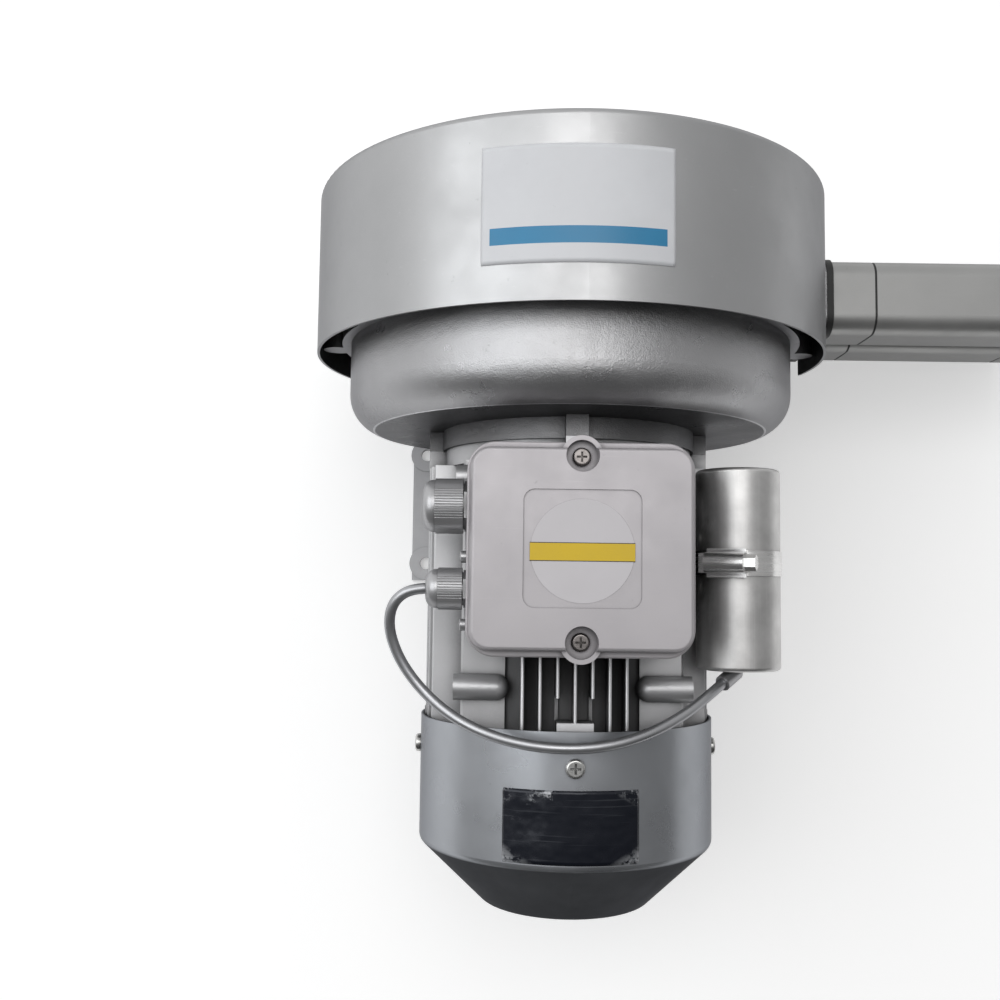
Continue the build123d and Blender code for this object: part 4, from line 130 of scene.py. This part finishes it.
# --- Materials ----------------------------------------------------------------------------------
class Tree:
    """A short way to build one node material."""

    def __init__(self, name):
        self.material = bpy.data.materials.new(name)
        self.material.use_nodes = True
        self.nodes = self.material.node_tree.nodes
        self.links = self.material.node_tree.links
        self.shader = self.nodes["Principled BSDF"]
        self.place = self.add("ShaderNodeTexCoord").outputs["Object"]

    def add(self, kind, **values):
        node = self.nodes.new(kind)
        for key, value in values.items():
            setattr(node, key, value)
        return node

    def link(self, source, target):
        self.links.new(source, target)

    def stretch(self, scale, turn=(0, 0, 0)):
        """The place, scaled along each axis and turned, for drawn-out textures."""
        mapping = self.add("ShaderNodeMapping")
        mapping.inputs["Scale"].default_value = scale
        mapping.inputs["Rotation"].default_value = turn
        self.link(self.place, mapping.inputs["Vector"])
        return mapping.outputs["Vector"]

    def noise(self, scale, detail=3.0, rough=0.5, vector=None):
        node = self.add("ShaderNodeTexNoise")
        node.inputs["Scale"].default_value = scale
        node.inputs["Detail"].default_value = detail
        node.inputs["Roughness"].default_value = rough
        self.link(vector or self.place, node.inputs["Vector"])
        return node.outputs["Fac"]

    def wave(self, scale, distortion=0.0, **values):
        node = self.add("ShaderNodeTexWave", **values)
        node.inputs["Scale"].default_value = scale
        node.inputs["Distortion"].default_value = distortion
        self.link(self.place, node.inputs["Vector"])
        return node.outputs["Fac"]

    def occlusion(self, distance, samples):
        node = self.add("ShaderNodeAmbientOcclusion", samples=samples)
        node.inputs["Distance"].default_value = distance
        return node.outputs["AO"]

    def ramp(self, source, low, high, start=0.0, end=1.0):
        """Low where the source is at start or less, and high where it is at end or more."""
        node = self.add("ShaderNodeMapRange")
        node.inputs["From Min"].default_value = start
        node.inputs["From Max"].default_value = end
        node.inputs["To Min"].default_value = low
        node.inputs["To Max"].default_value = high
        self.link(source, node.inputs["Value"])
        return node.outputs["Result"]

    def math(self, operation, *terms):
        node = self.add("ShaderNodeMath", operation=operation)
        for socket, value in zip(node.inputs, terms):
            if isinstance(value, (int, float)):
                socket.default_value = value
            else:
                self.link(value, socket)
        return node.outputs[0]

    def mix(self, factor, a, b):
        node = self.add("ShaderNodeMix", data_type="RGBA")
        colours = [socket for socket in node.inputs if socket.type == "RGBA"]
        self.link(factor, node.inputs["Factor"])
        for socket, value in zip(colours, (a, b)):
            if isinstance(value, tuple):
                socket.default_value = (*value, 1)
            else:
                self.link(value, socket)
        return next(socket for socket in node.outputs if socket.type == "RGBA")

    def axes(self):
        """X and Y of the place, and its distance from the shaft's axis."""
        split = self.add("ShaderNodeSeparateXYZ")
        self.link(self.place, split.inputs[0])
        x, y, z = split.outputs
        rise = self.math("SUBTRACT", z, AXIS_Z)
        squares = self.math("ADD", self.math("MULTIPLY", x, x), self.math("MULTIPLY", rise, rise))
        return x, y, self.math("SQRT", squares)

    def between(self, value, low, high):
        """One where the value lies between two limits, and zero outside."""
        above, below = self.math("GREATER_THAN", value, low), self.math("LESS_THAN", value, high)
        return self.math("MULTIPLY", above, below)

    def bump(self, source, strength, distance, before=None):
        node = self.add("ShaderNodeBump")
        node.inputs["Strength"].default_value = strength
        node.inputs["Distance"].default_value = distance
        self.link(source, node.inputs["Height"])
        if before:
            self.link(before, node.inputs["Normal"])
        return node.outputs["Normal"]

    def finish(self, colour, rough=None, normal=None, **values):
        """Links what the shader takes from nodes, and sets its uniform values."""
        for name, source in (("Base Color", colour), ("Roughness", rough), ("Normal", normal)):
            if source is not None:
                self.link(source, self.shader.inputs[name])
        for key, value in values.items():
            self.shader.inputs[key].default_value = value
        return self.material


def shade(colour, factor):
    return tuple(min(1.0, c * factor) for c in colour)


# How strong the lacquer's scratches and spots are, and how dark it turns at a flat angle
WEAR = 0.35
FLAT_ANGLE_TINT = (0.35, 0.35, 0.36, 1)

# The lacquer's tones, as parts of its own colour; the last four are painted shade and painted
# highlights
FLAKE, SCRATCH, SPOT = 1.25, 1.3, 0.45
FACE_SHADE_TONE, SHADE_TONE = 0.18, 0.07
RIM_HIGHLIGHT, TIP_HIGHLIGHT = 2.1, 1.6

# How far the painted highlight line of a rim reaches inwards and outwards
RIM_LINE = (0.0007, 0.0006)


def lacquer(
    name,
    colour,
    metallic,
    rough,
    grain,
    grain_depth,
    blotch,
    crease_shade,
    reach,
    peel=0.0,
    rim=None,
    inside=None,
    depth=0.96,
    soft=0.00001,
    tips=None,
):
    """Silver lacquer: aluminium flake over metal, darker at a flat angle, with soft blotches,
    painted shade in the corners, and wear. A rim (radius, highest Y) gets a painted highlight line,
    with painted shade on the face within it. Within inside (radius, highest Y) it is dark, by
    depth, as painted shade over a soft edge. Beyond tips (radius, half width) it gets a painted
    highlight. Peel is the depth of its orange skin."""
    t = Tree(name)
    cloud = t.noise(9.0, 4.0, 0.6)
    dull, light = shade(colour, 1 - blotch), shade(colour, 1 + blotch)
    tint = t.mix(t.ramp(cloud, 0, 1, 0.35, 0.65), dull, light)
    flake = t.noise(grain * 2.2, 1.0, 0.5)
    tint = t.mix(t.ramp(flake, 0.0, 0.35, 0.45, 0.75), tint, shade(colour, FLAKE))
    rub = t.noise(1.0, 5.0, 0.7, t.stretch((14, 420, 420), (0.2, 0.1, 0.5)))
    tint = t.mix(t.ramp(rub, 0.0, WEAR, 0.62, 0.74), tint, shade(colour, SCRATCH))
    spot = t.noise(130.0, 6.0, 0.75)
    tint = t.mix(t.ramp(spot, 0.0, WEAR, 0.66, 0.72), tint, shade(colour, SPOT))
    if rim or inside or tips:
        x, y, radius = t.axes()
    # Painted highlight: a bright line on the rim; painted shade: the face within it darkened, in
    # blotches
    if rim:
        rim_r, rim_y = rim
        face = t.math("LESS_THAN", y, rim_y)
        face_shade = t.math("MULTIPLY", face, t.math("LESS_THAN", radius, rim_r))
        face_shade = t.math("MULTIPLY", face_shade, t.ramp(cloud, 0.54, 0.76, 0.35, 0.65))
        tint = t.mix(face_shade, tint, shade(colour, FACE_SHADE_TONE))
        on_line = t.between(radius, rim_r - RIM_LINE[0], rim_r + RIM_LINE[1])
        line = t.math("MULTIPLY", face, on_line)
        line = t.math("MULTIPLY", line, t.ramp(spot, 1.0, 0.5, 0.3, 0.7))
        tint = t.mix(line, tint, shade(colour, RIM_HIGHLIGHT))
    # Painted highlight along the fin tips
    if tips:
        tip_r, half_width = tips
        beyond = t.math("GREATER_THAN", radius, tip_r)
        edge = t.math("MULTIPLY", beyond, t.between(x, -half_width, half_width))
        tint = t.mix(t.math("MULTIPLY", edge, 0.8), tint, shade(colour, TIP_HIGHLIGHT))
    # Painted shade: darker in corners and creases, from ambient occlusion
    painted_shade = t.ramp(t.occlusion(reach, 6), crease_shade, 0.0, 0.25, 0.85)
    # Painted shade: dark within the inside radius, on the inner walls and the cowl's cone
    if inside:
        inside_r, inside_y = inside
        shaded_hollow = t.ramp(radius, 1.0, 0.0, inside_r, inside_r + soft)
        shaded_hollow = t.math("MULTIPLY", shaded_hollow, t.math("LESS_THAN", y, inside_y))
        painted_shade = t.math("MAXIMUM", painted_shade, t.math("MULTIPLY", shaded_hollow, depth))
    tint = t.mix(painted_shade, tint, shade(colour, SHADE_TONE))
    smear = t.noise(34.0, 3.0, 0.6)
    gloss = t.ramp(smear, rough - 0.06, rough + 0.08, 0.3, 0.7)
    gloss = t.math("ADD", gloss, t.math("MULTIPLY", painted_shade, 0.25))
    normal = t.bump(t.noise(grain, 3.0, 0.6), 0.6, grain_depth)
    if peel:
        normal = t.bump(t.noise(260.0, 2.0, 0.4), 0.5, peel, normal)
    return t.finish(tint, gloss, normal, Metallic=metallic, **{"Specular Tint": FLAT_ANGLE_TINT})


def metal(name, colour, rough, lines, line_depth=0.00001, crease_shade=0.3, reach=0.004, spread=0.09):
    """Bare metal with fine machining or rolling lines, slight tarnish and painted shade in its
    corners. Lines is the fineness of the stroke along each axis, and spread how much the
    roughness varies with it."""
    t = Tree(name)
    cloud = t.noise(60.0, 4.0, 0.6)
    tint = t.mix(t.ramp(cloud, 0, 1, 0.35, 0.7), shade(colour, 0.86), shade(colour, 1.08))
    stroke = t.noise(1.0, 4.0, 0.6, t.stretch(lines))
    tint = t.mix(t.ramp(stroke, 0, 0.4, 0.5, 0.75), tint, shade(colour, 1.2))
    # Painted shade: darker in corners and creases, from ambient occlusion
    painted_shade = t.ramp(t.occlusion(reach, 4), crease_shade, 0.0, 0.3, 0.9)
    tint = t.mix(painted_shade, tint, shade(colour, 0.2))
    gloss = t.ramp(stroke, rough - spread, rough + spread, 0.35, 0.7)
    return t.finish(tint, gloss, t.bump(stroke, 0.5, line_depth), Metallic=1.0)


def plain(name, colour, rough, grain, depth, sheen=0.0):
    """Rubber, plastic or foam: slight colour variation, dust and a fine surface."""
    t = Tree(name)
    cloud = t.noise(45.0, 4.0, 0.6)
    tint = t.mix(t.ramp(cloud, 0, 1, 0.35, 0.65), shade(colour, 0.88), shade(colour, 1.12))
    dust = t.noise(520.0, 4.0, 0.7)
    tint = t.mix(t.ramp(dust, 0, 0.25, 0.6, 0.72), tint, shade(colour, 1.6))
    gloss = t.ramp(cloud, rough - 0.05, rough + 0.08, 0.3, 0.7)
    normal = t.bump(t.noise(grain, 3.0, 0.6), 0.6, depth)
    return t.finish(tint, gloss, normal, **{"Sheen Weight": sheen})


def windings(name):
    """Varnished copper wire laid in the slots."""
    t = Tree(name)
    wire = t.wave(190, 2.5, wave_type="RINGS", rings_direction="Y")
    tint = t.mix(wire, (0.22, 0.07, 0.03), (0.62, 0.27, 0.11))
    return t.finish(tint, None, t.bump(wire, 0.8, 0.0004), Metallic=0.6, Roughness=0.3)


def laminations(name):
    """Stacked electrical sheet, with its edges as fine rings along the shaft."""
    t = Tree(name)
    edges = t.wave(310, bands_direction="Y")
    rust = t.noise(40.0, 5.0, 0.6)
    tint = t.mix(edges, (0.16, 0.16, 0.17), (0.42, 0.43, 0.45))
    tint = t.mix(t.ramp(rust, 0, 0.4, 0.55, 0.8), tint, (0.30, 0.18, 0.10))
    return t.finish(tint, None, t.bump(edges, 0.5, 0.0002), Metallic=0.85, Roughness=0.45)


# Where the lacquer gets painted highlights and painted shade: radius from the shaft and highest
# # Y, or half width. The two radii of sheet metal lie just within its wall.
CASING_RIM = (0.121, 0.0372)
DRUM_INSIDE = (DRUM_R - 0.00155, 0.1752)
COWL_INSIDE = (COWL_R - 0.00145, 0.0)
FRAME_INSIDE = (0.0702, 0.1)
FIN_TIPS = (0.0850, 0.034)

CAST = lacquer(
    "cast_silver", (0.43, 0.43, 0.44), metallic=0.88, rough=0.31, grain=1300, grain_depth=0.00040,
    blotch=0.08, crease_shade=0.6, reach=0.014, peel=0.00030, rim=CASING_RIM,
)
DRUM = lacquer(
    "drum_silver", (0.43, 0.433, 0.439), metallic=0.86, rough=0.38, grain=3200,
    grain_depth=0.00003, blotch=0.045, crease_shade=0.25, reach=0.008, peel=0.00002,
    inside=DRUM_INSIDE,
)
# Painted shade within the cowl: the soft edge reaches over the rounded shoulder, so the cone is
# dark as well
COWL = lacquer(
    "cowl_silver", (0.40, 0.415, 0.44), metallic=0.88, rough=0.30, grain=3000,
    grain_depth=0.00002, blotch=0.05, crease_shade=0.5, reach=0.010, peel=0.00002,
    inside=COWL_INSIDE, depth=0.87, soft=0.0012,
)
LID = lacquer(
    "lid_silver", (0.455, 0.437, 0.452), metallic=0.40, rough=0.42, grain=2600,
    grain_depth=0.00003, blotch=0.03, crease_shade=0.75, reach=0.004, peel=0.00003,
)
BOX = lacquer(
    "box_silver", (0.40, 0.392, 0.40), metallic=0.55, rough=0.45, grain=2200,
    grain_depth=0.00004, blotch=0.05, crease_shade=0.8, reach=0.008, peel=0.00003,
)
FRAME = lacquer(
    "frame_silver", (0.50, 0.50, 0.51), metallic=0.70, rough=0.38, grain=1700,
    grain_depth=0.00010, blotch=0.07, crease_shade=0.95, reach=0.018, peel=0.00006,
    inside=FRAME_INSIDE, depth=0.85, tips=FIN_TIPS,
)
DUCT = lacquer(
    "duct_silver", (0.40, 0.40, 0.395), metallic=0.75, rough=0.40, grain=2600,
    grain_depth=0.00003, blotch=0.05, crease_shade=0.45, reach=0.010, peel=0.00003,
)
FOOT = lacquer(
    "foot_silver", (0.42, 0.42, 0.43), metallic=0.65, rough=0.42, grain=1800,
    grain_depth=0.00006, blotch=0.07, crease_shade=0.5, reach=0.012, peel=0.00006,
)
MOULDED = lacquer(
    "moulded_silver", (0.45, 0.45, 0.46), metallic=0.75, rough=0.32, grain=2600,
    grain_depth=0.00004, blotch=0.07, crease_shade=0.8, reach=0.004,
)
SHEATH = lacquer(
    "sheath_silver", (0.42, 0.425, 0.44), metallic=0.85, rough=0.30, grain=2400,
    grain_depth=0.00004, blotch=0.10, crease_shade=0.4, reach=0.006, peel=0.00006,
)
CAN = metal(
    "can_aluminium", (0.62, 0.615, 0.61), 0.44, (1400, 9, 1400), 0.000002, 0.5, 0.006, spread=0.03
)
BARE = metal("bare_aluminium", (0.58, 0.585, 0.59), 0.38, (150, 150, 150), 0.00002)
GROUND = metal("ground_steel", (0.50, 0.51, 0.53), 0.25, (20, 900, 20))
ZINC = metal("zinc_steel", (0.55, 0.55, 0.54), 0.26, (420, 420, 420), crease_shade=1.0, reach=0.003)
BAND = metal("stainless_band", (0.76, 0.755, 0.75), 0.27, (20, 900, 20), crease_shade=0.6, reach=0.0025)
DARK = metal("dark_screws", (0.20, 0.185, 0.18), 0.28, (420, 420, 420), crease_shade=1.0)
RACE = metal("bearing_steel", (0.60, 0.60, 0.62), 0.12, (30, 700, 30), 0.000004)
BRASS = metal("bright_brass", (0.62, 0.46, 0.20), 0.28, (300, 300, 300))
RUBBER = plain("black_rubber", (0.02, 0.02, 0.02), 0.55, 1500, 0.00004)
FIBRE = plain("grey_fibre", (0.06, 0.06, 0.065), 0.8, 700, 0.00008)
PLASTIC = plain("black_plastic", (0.025, 0.025, 0.028), 0.4, 1800, 0.00002)
FOAM = plain("grey_foam", (0.07, 0.07, 0.075), 0.95, 420, 0.0008, sheen=0.3)
FILM = plain("film_roll", (0.60, 0.52, 0.34), 0.35, 900, 0.00003)
COPPER = windings("copper_windings")
SHEET = laminations("stacked_sheet")

FINISHES = {
    CAST: ("casing_front", "casing_rear"),
    DRUM: ("drum_cover",),
    COWL: ("fan_cowl",),
    LID: ("terminal_lid",),
    BOX: ("terminal_box",),
    FRAME: ("motor_frame", "capacitor_bracket"),
    DUCT: ("port_collars", "silencers", "port_flanges"),
    FOOT: ("foot_bracket",),
    MOULDED: (
        "gland_bodies", "supply_gland_nut", "capacitor_gland_nut", "side_plugs",
        "capacitor_end_cap",
    ),
    CAN: ("capacitor_can",),
    BARE: ("impeller", "rear_end_shield", "rotor_end_rings"),
    GROUND: ("motor_shaft", "impeller_key", "fan_circlip", "wave_washer"),
    ZINC: (
        "box_screws", "bracket_screws", "casing_bolts", "cowl_screws", "drum_screws",
        "duct_tie_rods", "foot_bracket_bolts", "impeller_bolt", "impeller_washer",
        "motor_bolts", "shield_bolts",
    ),
    DARK: ("lid_screws",),
    BAND: ("clamp_band", "clamp_housing", "clamp_screw"),
    RACE: ("bearing_balls", "bearing_inner_rings", "bearing_outer_rings"),
    BRASS: ("bearing_cages", "terminal_studs"),
    RUBBER: ("box_gasket", "duct_gaskets", "port_grommets", "shaft_seal", "gland_seals"),
    FIBRE: ("casing_gasket",),
    PLASTIC: ("cooling_fan", "gland_locknuts", "terminal_block"),
    FOAM: ("silencer_linings",),
    FILM: ("capacitor_winding",),
    COPPER: ("stator_windings",),
    SHEET: ("rotor_core", "stator_core"),
}
for finish, names in FINISHES.items():
    for name in names:
        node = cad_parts[name]
        if not node.material_slots:
            node.data.materials.append(finish)
        for slot in node.material_slots:
            slot.material = finish
cable.data.materials.append(SHEATH)


# --- Labels -------------------------------------------------------------------------------------
# Low X, high X, low Y and high Y of each label, of the blue band on the drum's and of the yellow
# one on the lid, then the lid's disc
DRUM_LABEL_BOX = (-0.0535, 0.0435, 0.1007, 0.1610)
DRUM_BAND_BOX = (-0.0492, 0.0392, 0.1105, 0.1192)
NAMEPLATE_BOX = (-0.0385, 0.0350, -0.2062, -0.1670)
STRIP_BOX = (-0.0268, 0.0268, -0.0453, -0.0357)
STRIP_BAND_BOX = (-0.0268, 0.0268, -0.0449, -0.0361)
DISC_Y = -0.0400
DISC_R = 0.0265

# The middle of the nameplate, and the faces of disc and strip, which lie in the lid's hollow
PLATE_X, PLATE_Y = -0.0018, -0.1865
LID_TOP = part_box("terminal_lid")[1][2]
DISC_LEVEL = LID_TOP - 0.0005
STRIP_LEVEL = LID_TOP - 0.00038


def grid_faces(columns, rows):
    """Faces between rows of points, each row with one point more than columns."""
    return [
        (a, a + 1, a + columns + 2, a + columns + 1)
        for j in range(rows)
        for a in range(j * (columns + 1), j * (columns + 1) + columns)
    ]


def ring_faces(around, rings, first):
    """Faces between closed rings of points, of which the first begins at point number first."""
    faces = []
    for start in range(first, first + (rings - 1) * around, around):
        for k in range(around):
            a, b = start + k, start + (k + 1) % around
            faces.append((a, a + around, b + around, b))
    return faces


def add_label(name, verts, faces, material, thickness, smooth=False):
    """A mesh with thickness downwards, fixed to the housing."""
    mesh = bpy.data.meshes.new(name)
    mesh.from_pydata(verts, [], faces)
    mesh.materials.append(material)
    for polygon in mesh.polygons:
        polygon.use_smooth = smooth
    mesh.update()
    label = bpy.data.objects.new(name, mesh)
    bpy.context.collection.objects.link(label)
    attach(label, "housing")
    solid = label.modifiers.new("thickness", "SOLIDIFY")
    solid.thickness = thickness
    solid.offset = -1
    return label


def wrapped_label(name, box, radius, lift, material, columns, rows, corner=0.0003):
    """A thin label wrapped on a cylinder along Y, with rounded corners."""
    x0, x1, y0, y1 = box
    verts = []
    for j in range(rows + 1):
        y = y0 + (y1 - y0) * (j / rows)
        edge = min(y - y0, y1 - y)
        inset = 0.0
        if edge < corner:
            inset = corner - math.sqrt(max(0.0, corner**2 - (corner - edge) ** 2))
        for i in range(columns + 1):
            x = (x0 + inset) + (x1 - x0 - 2 * inset) * i / columns
            angle = math.asin(x / radius)
            out = radius + lift
            verts.append((out * math.sin(angle), y, AXIS_Z + out * math.cos(angle)))
    faces = grid_faces(columns, rows)
    return add_label(name, verts, faces, material, lift * 0.9, smooth=True)


def paper(name, colour, band_box=None, band=None):
    """Printed label stock: plain colour with faint handling marks, and a plain band of its own
    colour within the band's box."""
    t = Tree(name)
    x, y, _ = t.axes()
    cloud = t.noise(22.0, 4.0, 0.6)
    tint = t.mix(t.ramp(cloud, 0, 1, 0.3, 0.7), shade(colour, 0.95), shade(colour, 1.04))
    if band_box:
        x0, x1, y0, y1 = band_box
        within = t.math("MULTIPLY", t.between(x, x0, x1), t.between(y, y0, y1))
        faded = t.mix(t.ramp(cloud, 0, 1, 0.3, 0.7), shade(band, 0.92), shade(band, 1.08))
        tint = t.mix(within, tint, faded)
    speck = t.noise(400.0, 5.0, 0.7)
    tint = t.mix(t.ramp(speck, 0, 0.25, 0.66, 0.74), tint, shade(colour, 0.6))
    gloss = t.ramp(cloud, 0.30, 0.45, 0.3, 0.7)
    return t.finish(tint, gloss, t.bump(t.noise(160.0, 3.0, 0.5), 0.3, 0.00002))


def foil(name):
    """Dark, crumpled nameplate foil, rubbed through to silver at the corners and in patches."""
    t = Tree(name)
    x, y, _ = t.axes()
    across = t.math("ABSOLUTE", t.math("SUBTRACT", x, PLATE_X))
    along = t.math("ABSOLUTE", t.math("SUBTRACT", y, PLATE_Y))
    corner = t.math("ADD", t.math("MULTIPLY", across, 14.0), t.math("MULTIPLY", along, 24.0))
    worn = t.noise(70.0, 9.0, 0.75)
    patch = t.noise(16.0, 3.0, 0.5)
    wear = t.math("MULTIPLY", t.ramp(worn, 0, 1, 0.53, 0.57), t.ramp(patch, 0, 1, 0.68, 0.76))
    chips = t.math("MULTIPLY", t.ramp(worn, 0, 1, 0.47, 0.53), t.ramp(corner, 0, 1, 0.74, 0.92))
    both = t.math("MAXIMUM", wear, chips)
    tint = t.mix(both, (0.007, 0.009, 0.016), (0.36, 0.37, 0.39))
    line = t.noise(1.0, 3.0, 0.5, t.stretch((18, 700, 18)))
    tint = t.mix(t.ramp(line, 0, 0.4, 0.62, 0.7), tint, (0.07, 0.075, 0.085))
    gloss = t.ramp(worn, 0.12, 0.30, 0.35, 0.65)
    crumple = t.bump(t.noise(60.0, 2.0, 0.5), 0.6, 0.0016)
    return t.finish(tint, gloss, t.bump(worn, 0.4, 0.00012, crumple), Metallic=0.35)


def make_disc(level, rings=10, around=96):
    """The round sticker on the lid, as rings of faces round its centre."""
    verts = [(0.0, DISC_Y, level)]
    for ring in range(1, rings + 1):
        for k in range(around):
            angle = 2 * math.pi * k / around
            r = DISC_R * ring / rings
            verts.append((r * math.cos(angle), DISC_Y + r * math.sin(angle), level))
    faces = [(0, 1 + k, 1 + (k + 1) % around) for k in range(around)]
    return verts, faces + ring_faces(around, rings, first=1)


def make_strip(level, columns=24, rows=4):
    """The strip across the sticker, a little longer than the sticker is wide."""
    x0, x1, y0, y1 = STRIP_BOX
    verts = [
        (x0 + (x1 - x0) * i / columns, y0 + (y1 - y0) * j / rows, level)
        for j in range(rows + 1)
        for i in range(columns + 1)
    ]
    return verts, grid_faces(columns, rows)


DRUM_LABEL = paper("drum_label_stock", (0.64, 0.65, 0.675), DRUM_BAND_BOX, (0.022, 0.205, 0.390))
STICKER = paper("sticker_stock", (0.565, 0.545, 0.565))
STRIP = paper("sticker_band_stock", (0.02, 0.018, 0.015), STRIP_BAND_BOX, (0.63, 0.43, 0.002))
FOIL = foil("nameplate_foil")

wrapped_label("drum_label", DRUM_LABEL_BOX, DRUM_R, 0.00025, DRUM_LABEL, columns=64, rows=24)
wrapped_label("nameplate", NAMEPLATE_BOX, COWL_R, 0.00030, FOIL, columns=48, rows=20)
add_label("lid_sticker", *make_disc(DISC_LEVEL), STICKER, thickness=0.00018)
add_label("sticker_band", *make_strip(STRIP_LEVEL), STRIP, thickness=0.00010)


# --- Floor and light ----------------------------------------------------------------------------
FLOOR_HALF = 6
FLOOR_DROP = 0.0002
FLOOR_GLOW = 0.36


def make_floor():
    """A white floor: its own colour and the light give nearly white, and a little glow, seen by the
    camera and by metal, takes what is not in shadow to white."""
    t = Tree("floor_stock")
    cloud = t.noise(1.6, 3.0, 0.5)
    tint = t.mix(t.ramp(cloud, 0, 1, 0.3, 0.7), (0.86, 0.86, 0.86), (0.88, 0.88, 0.88))
    seen = t.add("ShaderNodeLightPath")
    glow = t.math("MAXIMUM", seen.outputs["Is Camera Ray"], seen.outputs["Is Glossy Ray"])
    t.link(t.math("MULTIPLY", glow, FLOOR_GLOW), t.shader.inputs["Emission Strength"])
    material = t.finish(
        tint, Roughness=0.8, **{"Specular IOR Level": 0.2, "Emission Color": (*WHITE, 1)}
    )
    h = FLOOR_HALF
    mesh = bpy.data.meshes.new("floor")
    mesh.from_pydata([(-h, -h, 0), (h, -h, 0), (h, h, 0), (-h, h, 0)], [], [(0, 1, 2, 3)])
    mesh.materials.append(material)
    floor = bpy.data.objects.new("floor", mesh)
    floor.location.z = -FLOOR_DROP
    bpy.context.collection.objects.link(floor)


# Name, place, width, height, watts and colour of each lamp, and where they point
LAMPS = (
    ("window", (-1.30, 0.35, 1.85), 1.5, 1.7, 12.6, (0.97, 0.99, 1.0)),
    ("ceiling", (0.05, 0.50, 2.05), 0.9, 1.1, 7.4, (1.0, 0.99, 0.98)),
)
LAMP_TARGET = (0, 0.05, 0.15)

# The room's strength rises along Y and falls along X: from and to on the axis, then the strength
# at either end
ROOM_DEPTH = (-0.60, 0.40, 0.10, 0.80)
ROOM_SIDE = (-0.90, 0.90, 1.30, 0.62)


def area_light(name, place, width, height, power, colour):
    data = bpy.data.lights.new(name, "AREA")
    data.shape = "RECTANGLE"
    data.size, data.size_y = width, height
    data.energy = power
    data.color = colour
    lamp = bpy.data.objects.new(name, data)
    bpy.context.collection.objects.link(lamp)
    lamp.location = place
    towards = Vector(LAMP_TARGET) - Vector(place)
    lamp.rotation_euler = towards.to_track_quat("-Z", "Y").to_euler()
    lamp.visible_camera = False


def make_room():
    """A room that is light behind and to the left of the blower and dark before it."""
    world = bpy.data.worlds.new("room")
    bpy.context.scene.world = world
    world.use_nodes = True
    nodes, links = world.node_tree.nodes, world.node_tree.links
    place = nodes.new("ShaderNodeTexCoord")
    split = nodes.new("ShaderNodeSeparateXYZ")
    links.new(place.outputs["Generated"], split.inputs[0])
    depth = nodes.new("ShaderNodeMapRange")
    depth.interpolation_type = "SMOOTHSTEP"
    side = nodes.new("ShaderNodeMapRange")
    for node, axis, values in ((depth, "Y", ROOM_DEPTH), (side, "X", ROOM_SIDE)):
        for socket, value in zip(("From Min", "From Max", "To Min", "To Max"), values):
            node.inputs[socket].default_value = value
        links.new(split.outputs[axis], node.inputs["Value"])
    level = nodes.new("ShaderNodeMath")
    level.operation = "MULTIPLY"
    links.new(depth.outputs["Result"], level.inputs[0])
    links.new(side.outputs["Result"], level.inputs[1])
    background = nodes["Background"]
    links.new(level.outputs[0], background.inputs["Strength"])
    background.inputs["Color"].default_value = (*WHITE, 1)


make_floor()
make_room()
for lamp_values in LAMPS:
    area_light(*lamp_values)
bpy.context.scene.view_settings.view_transform = "Standard"
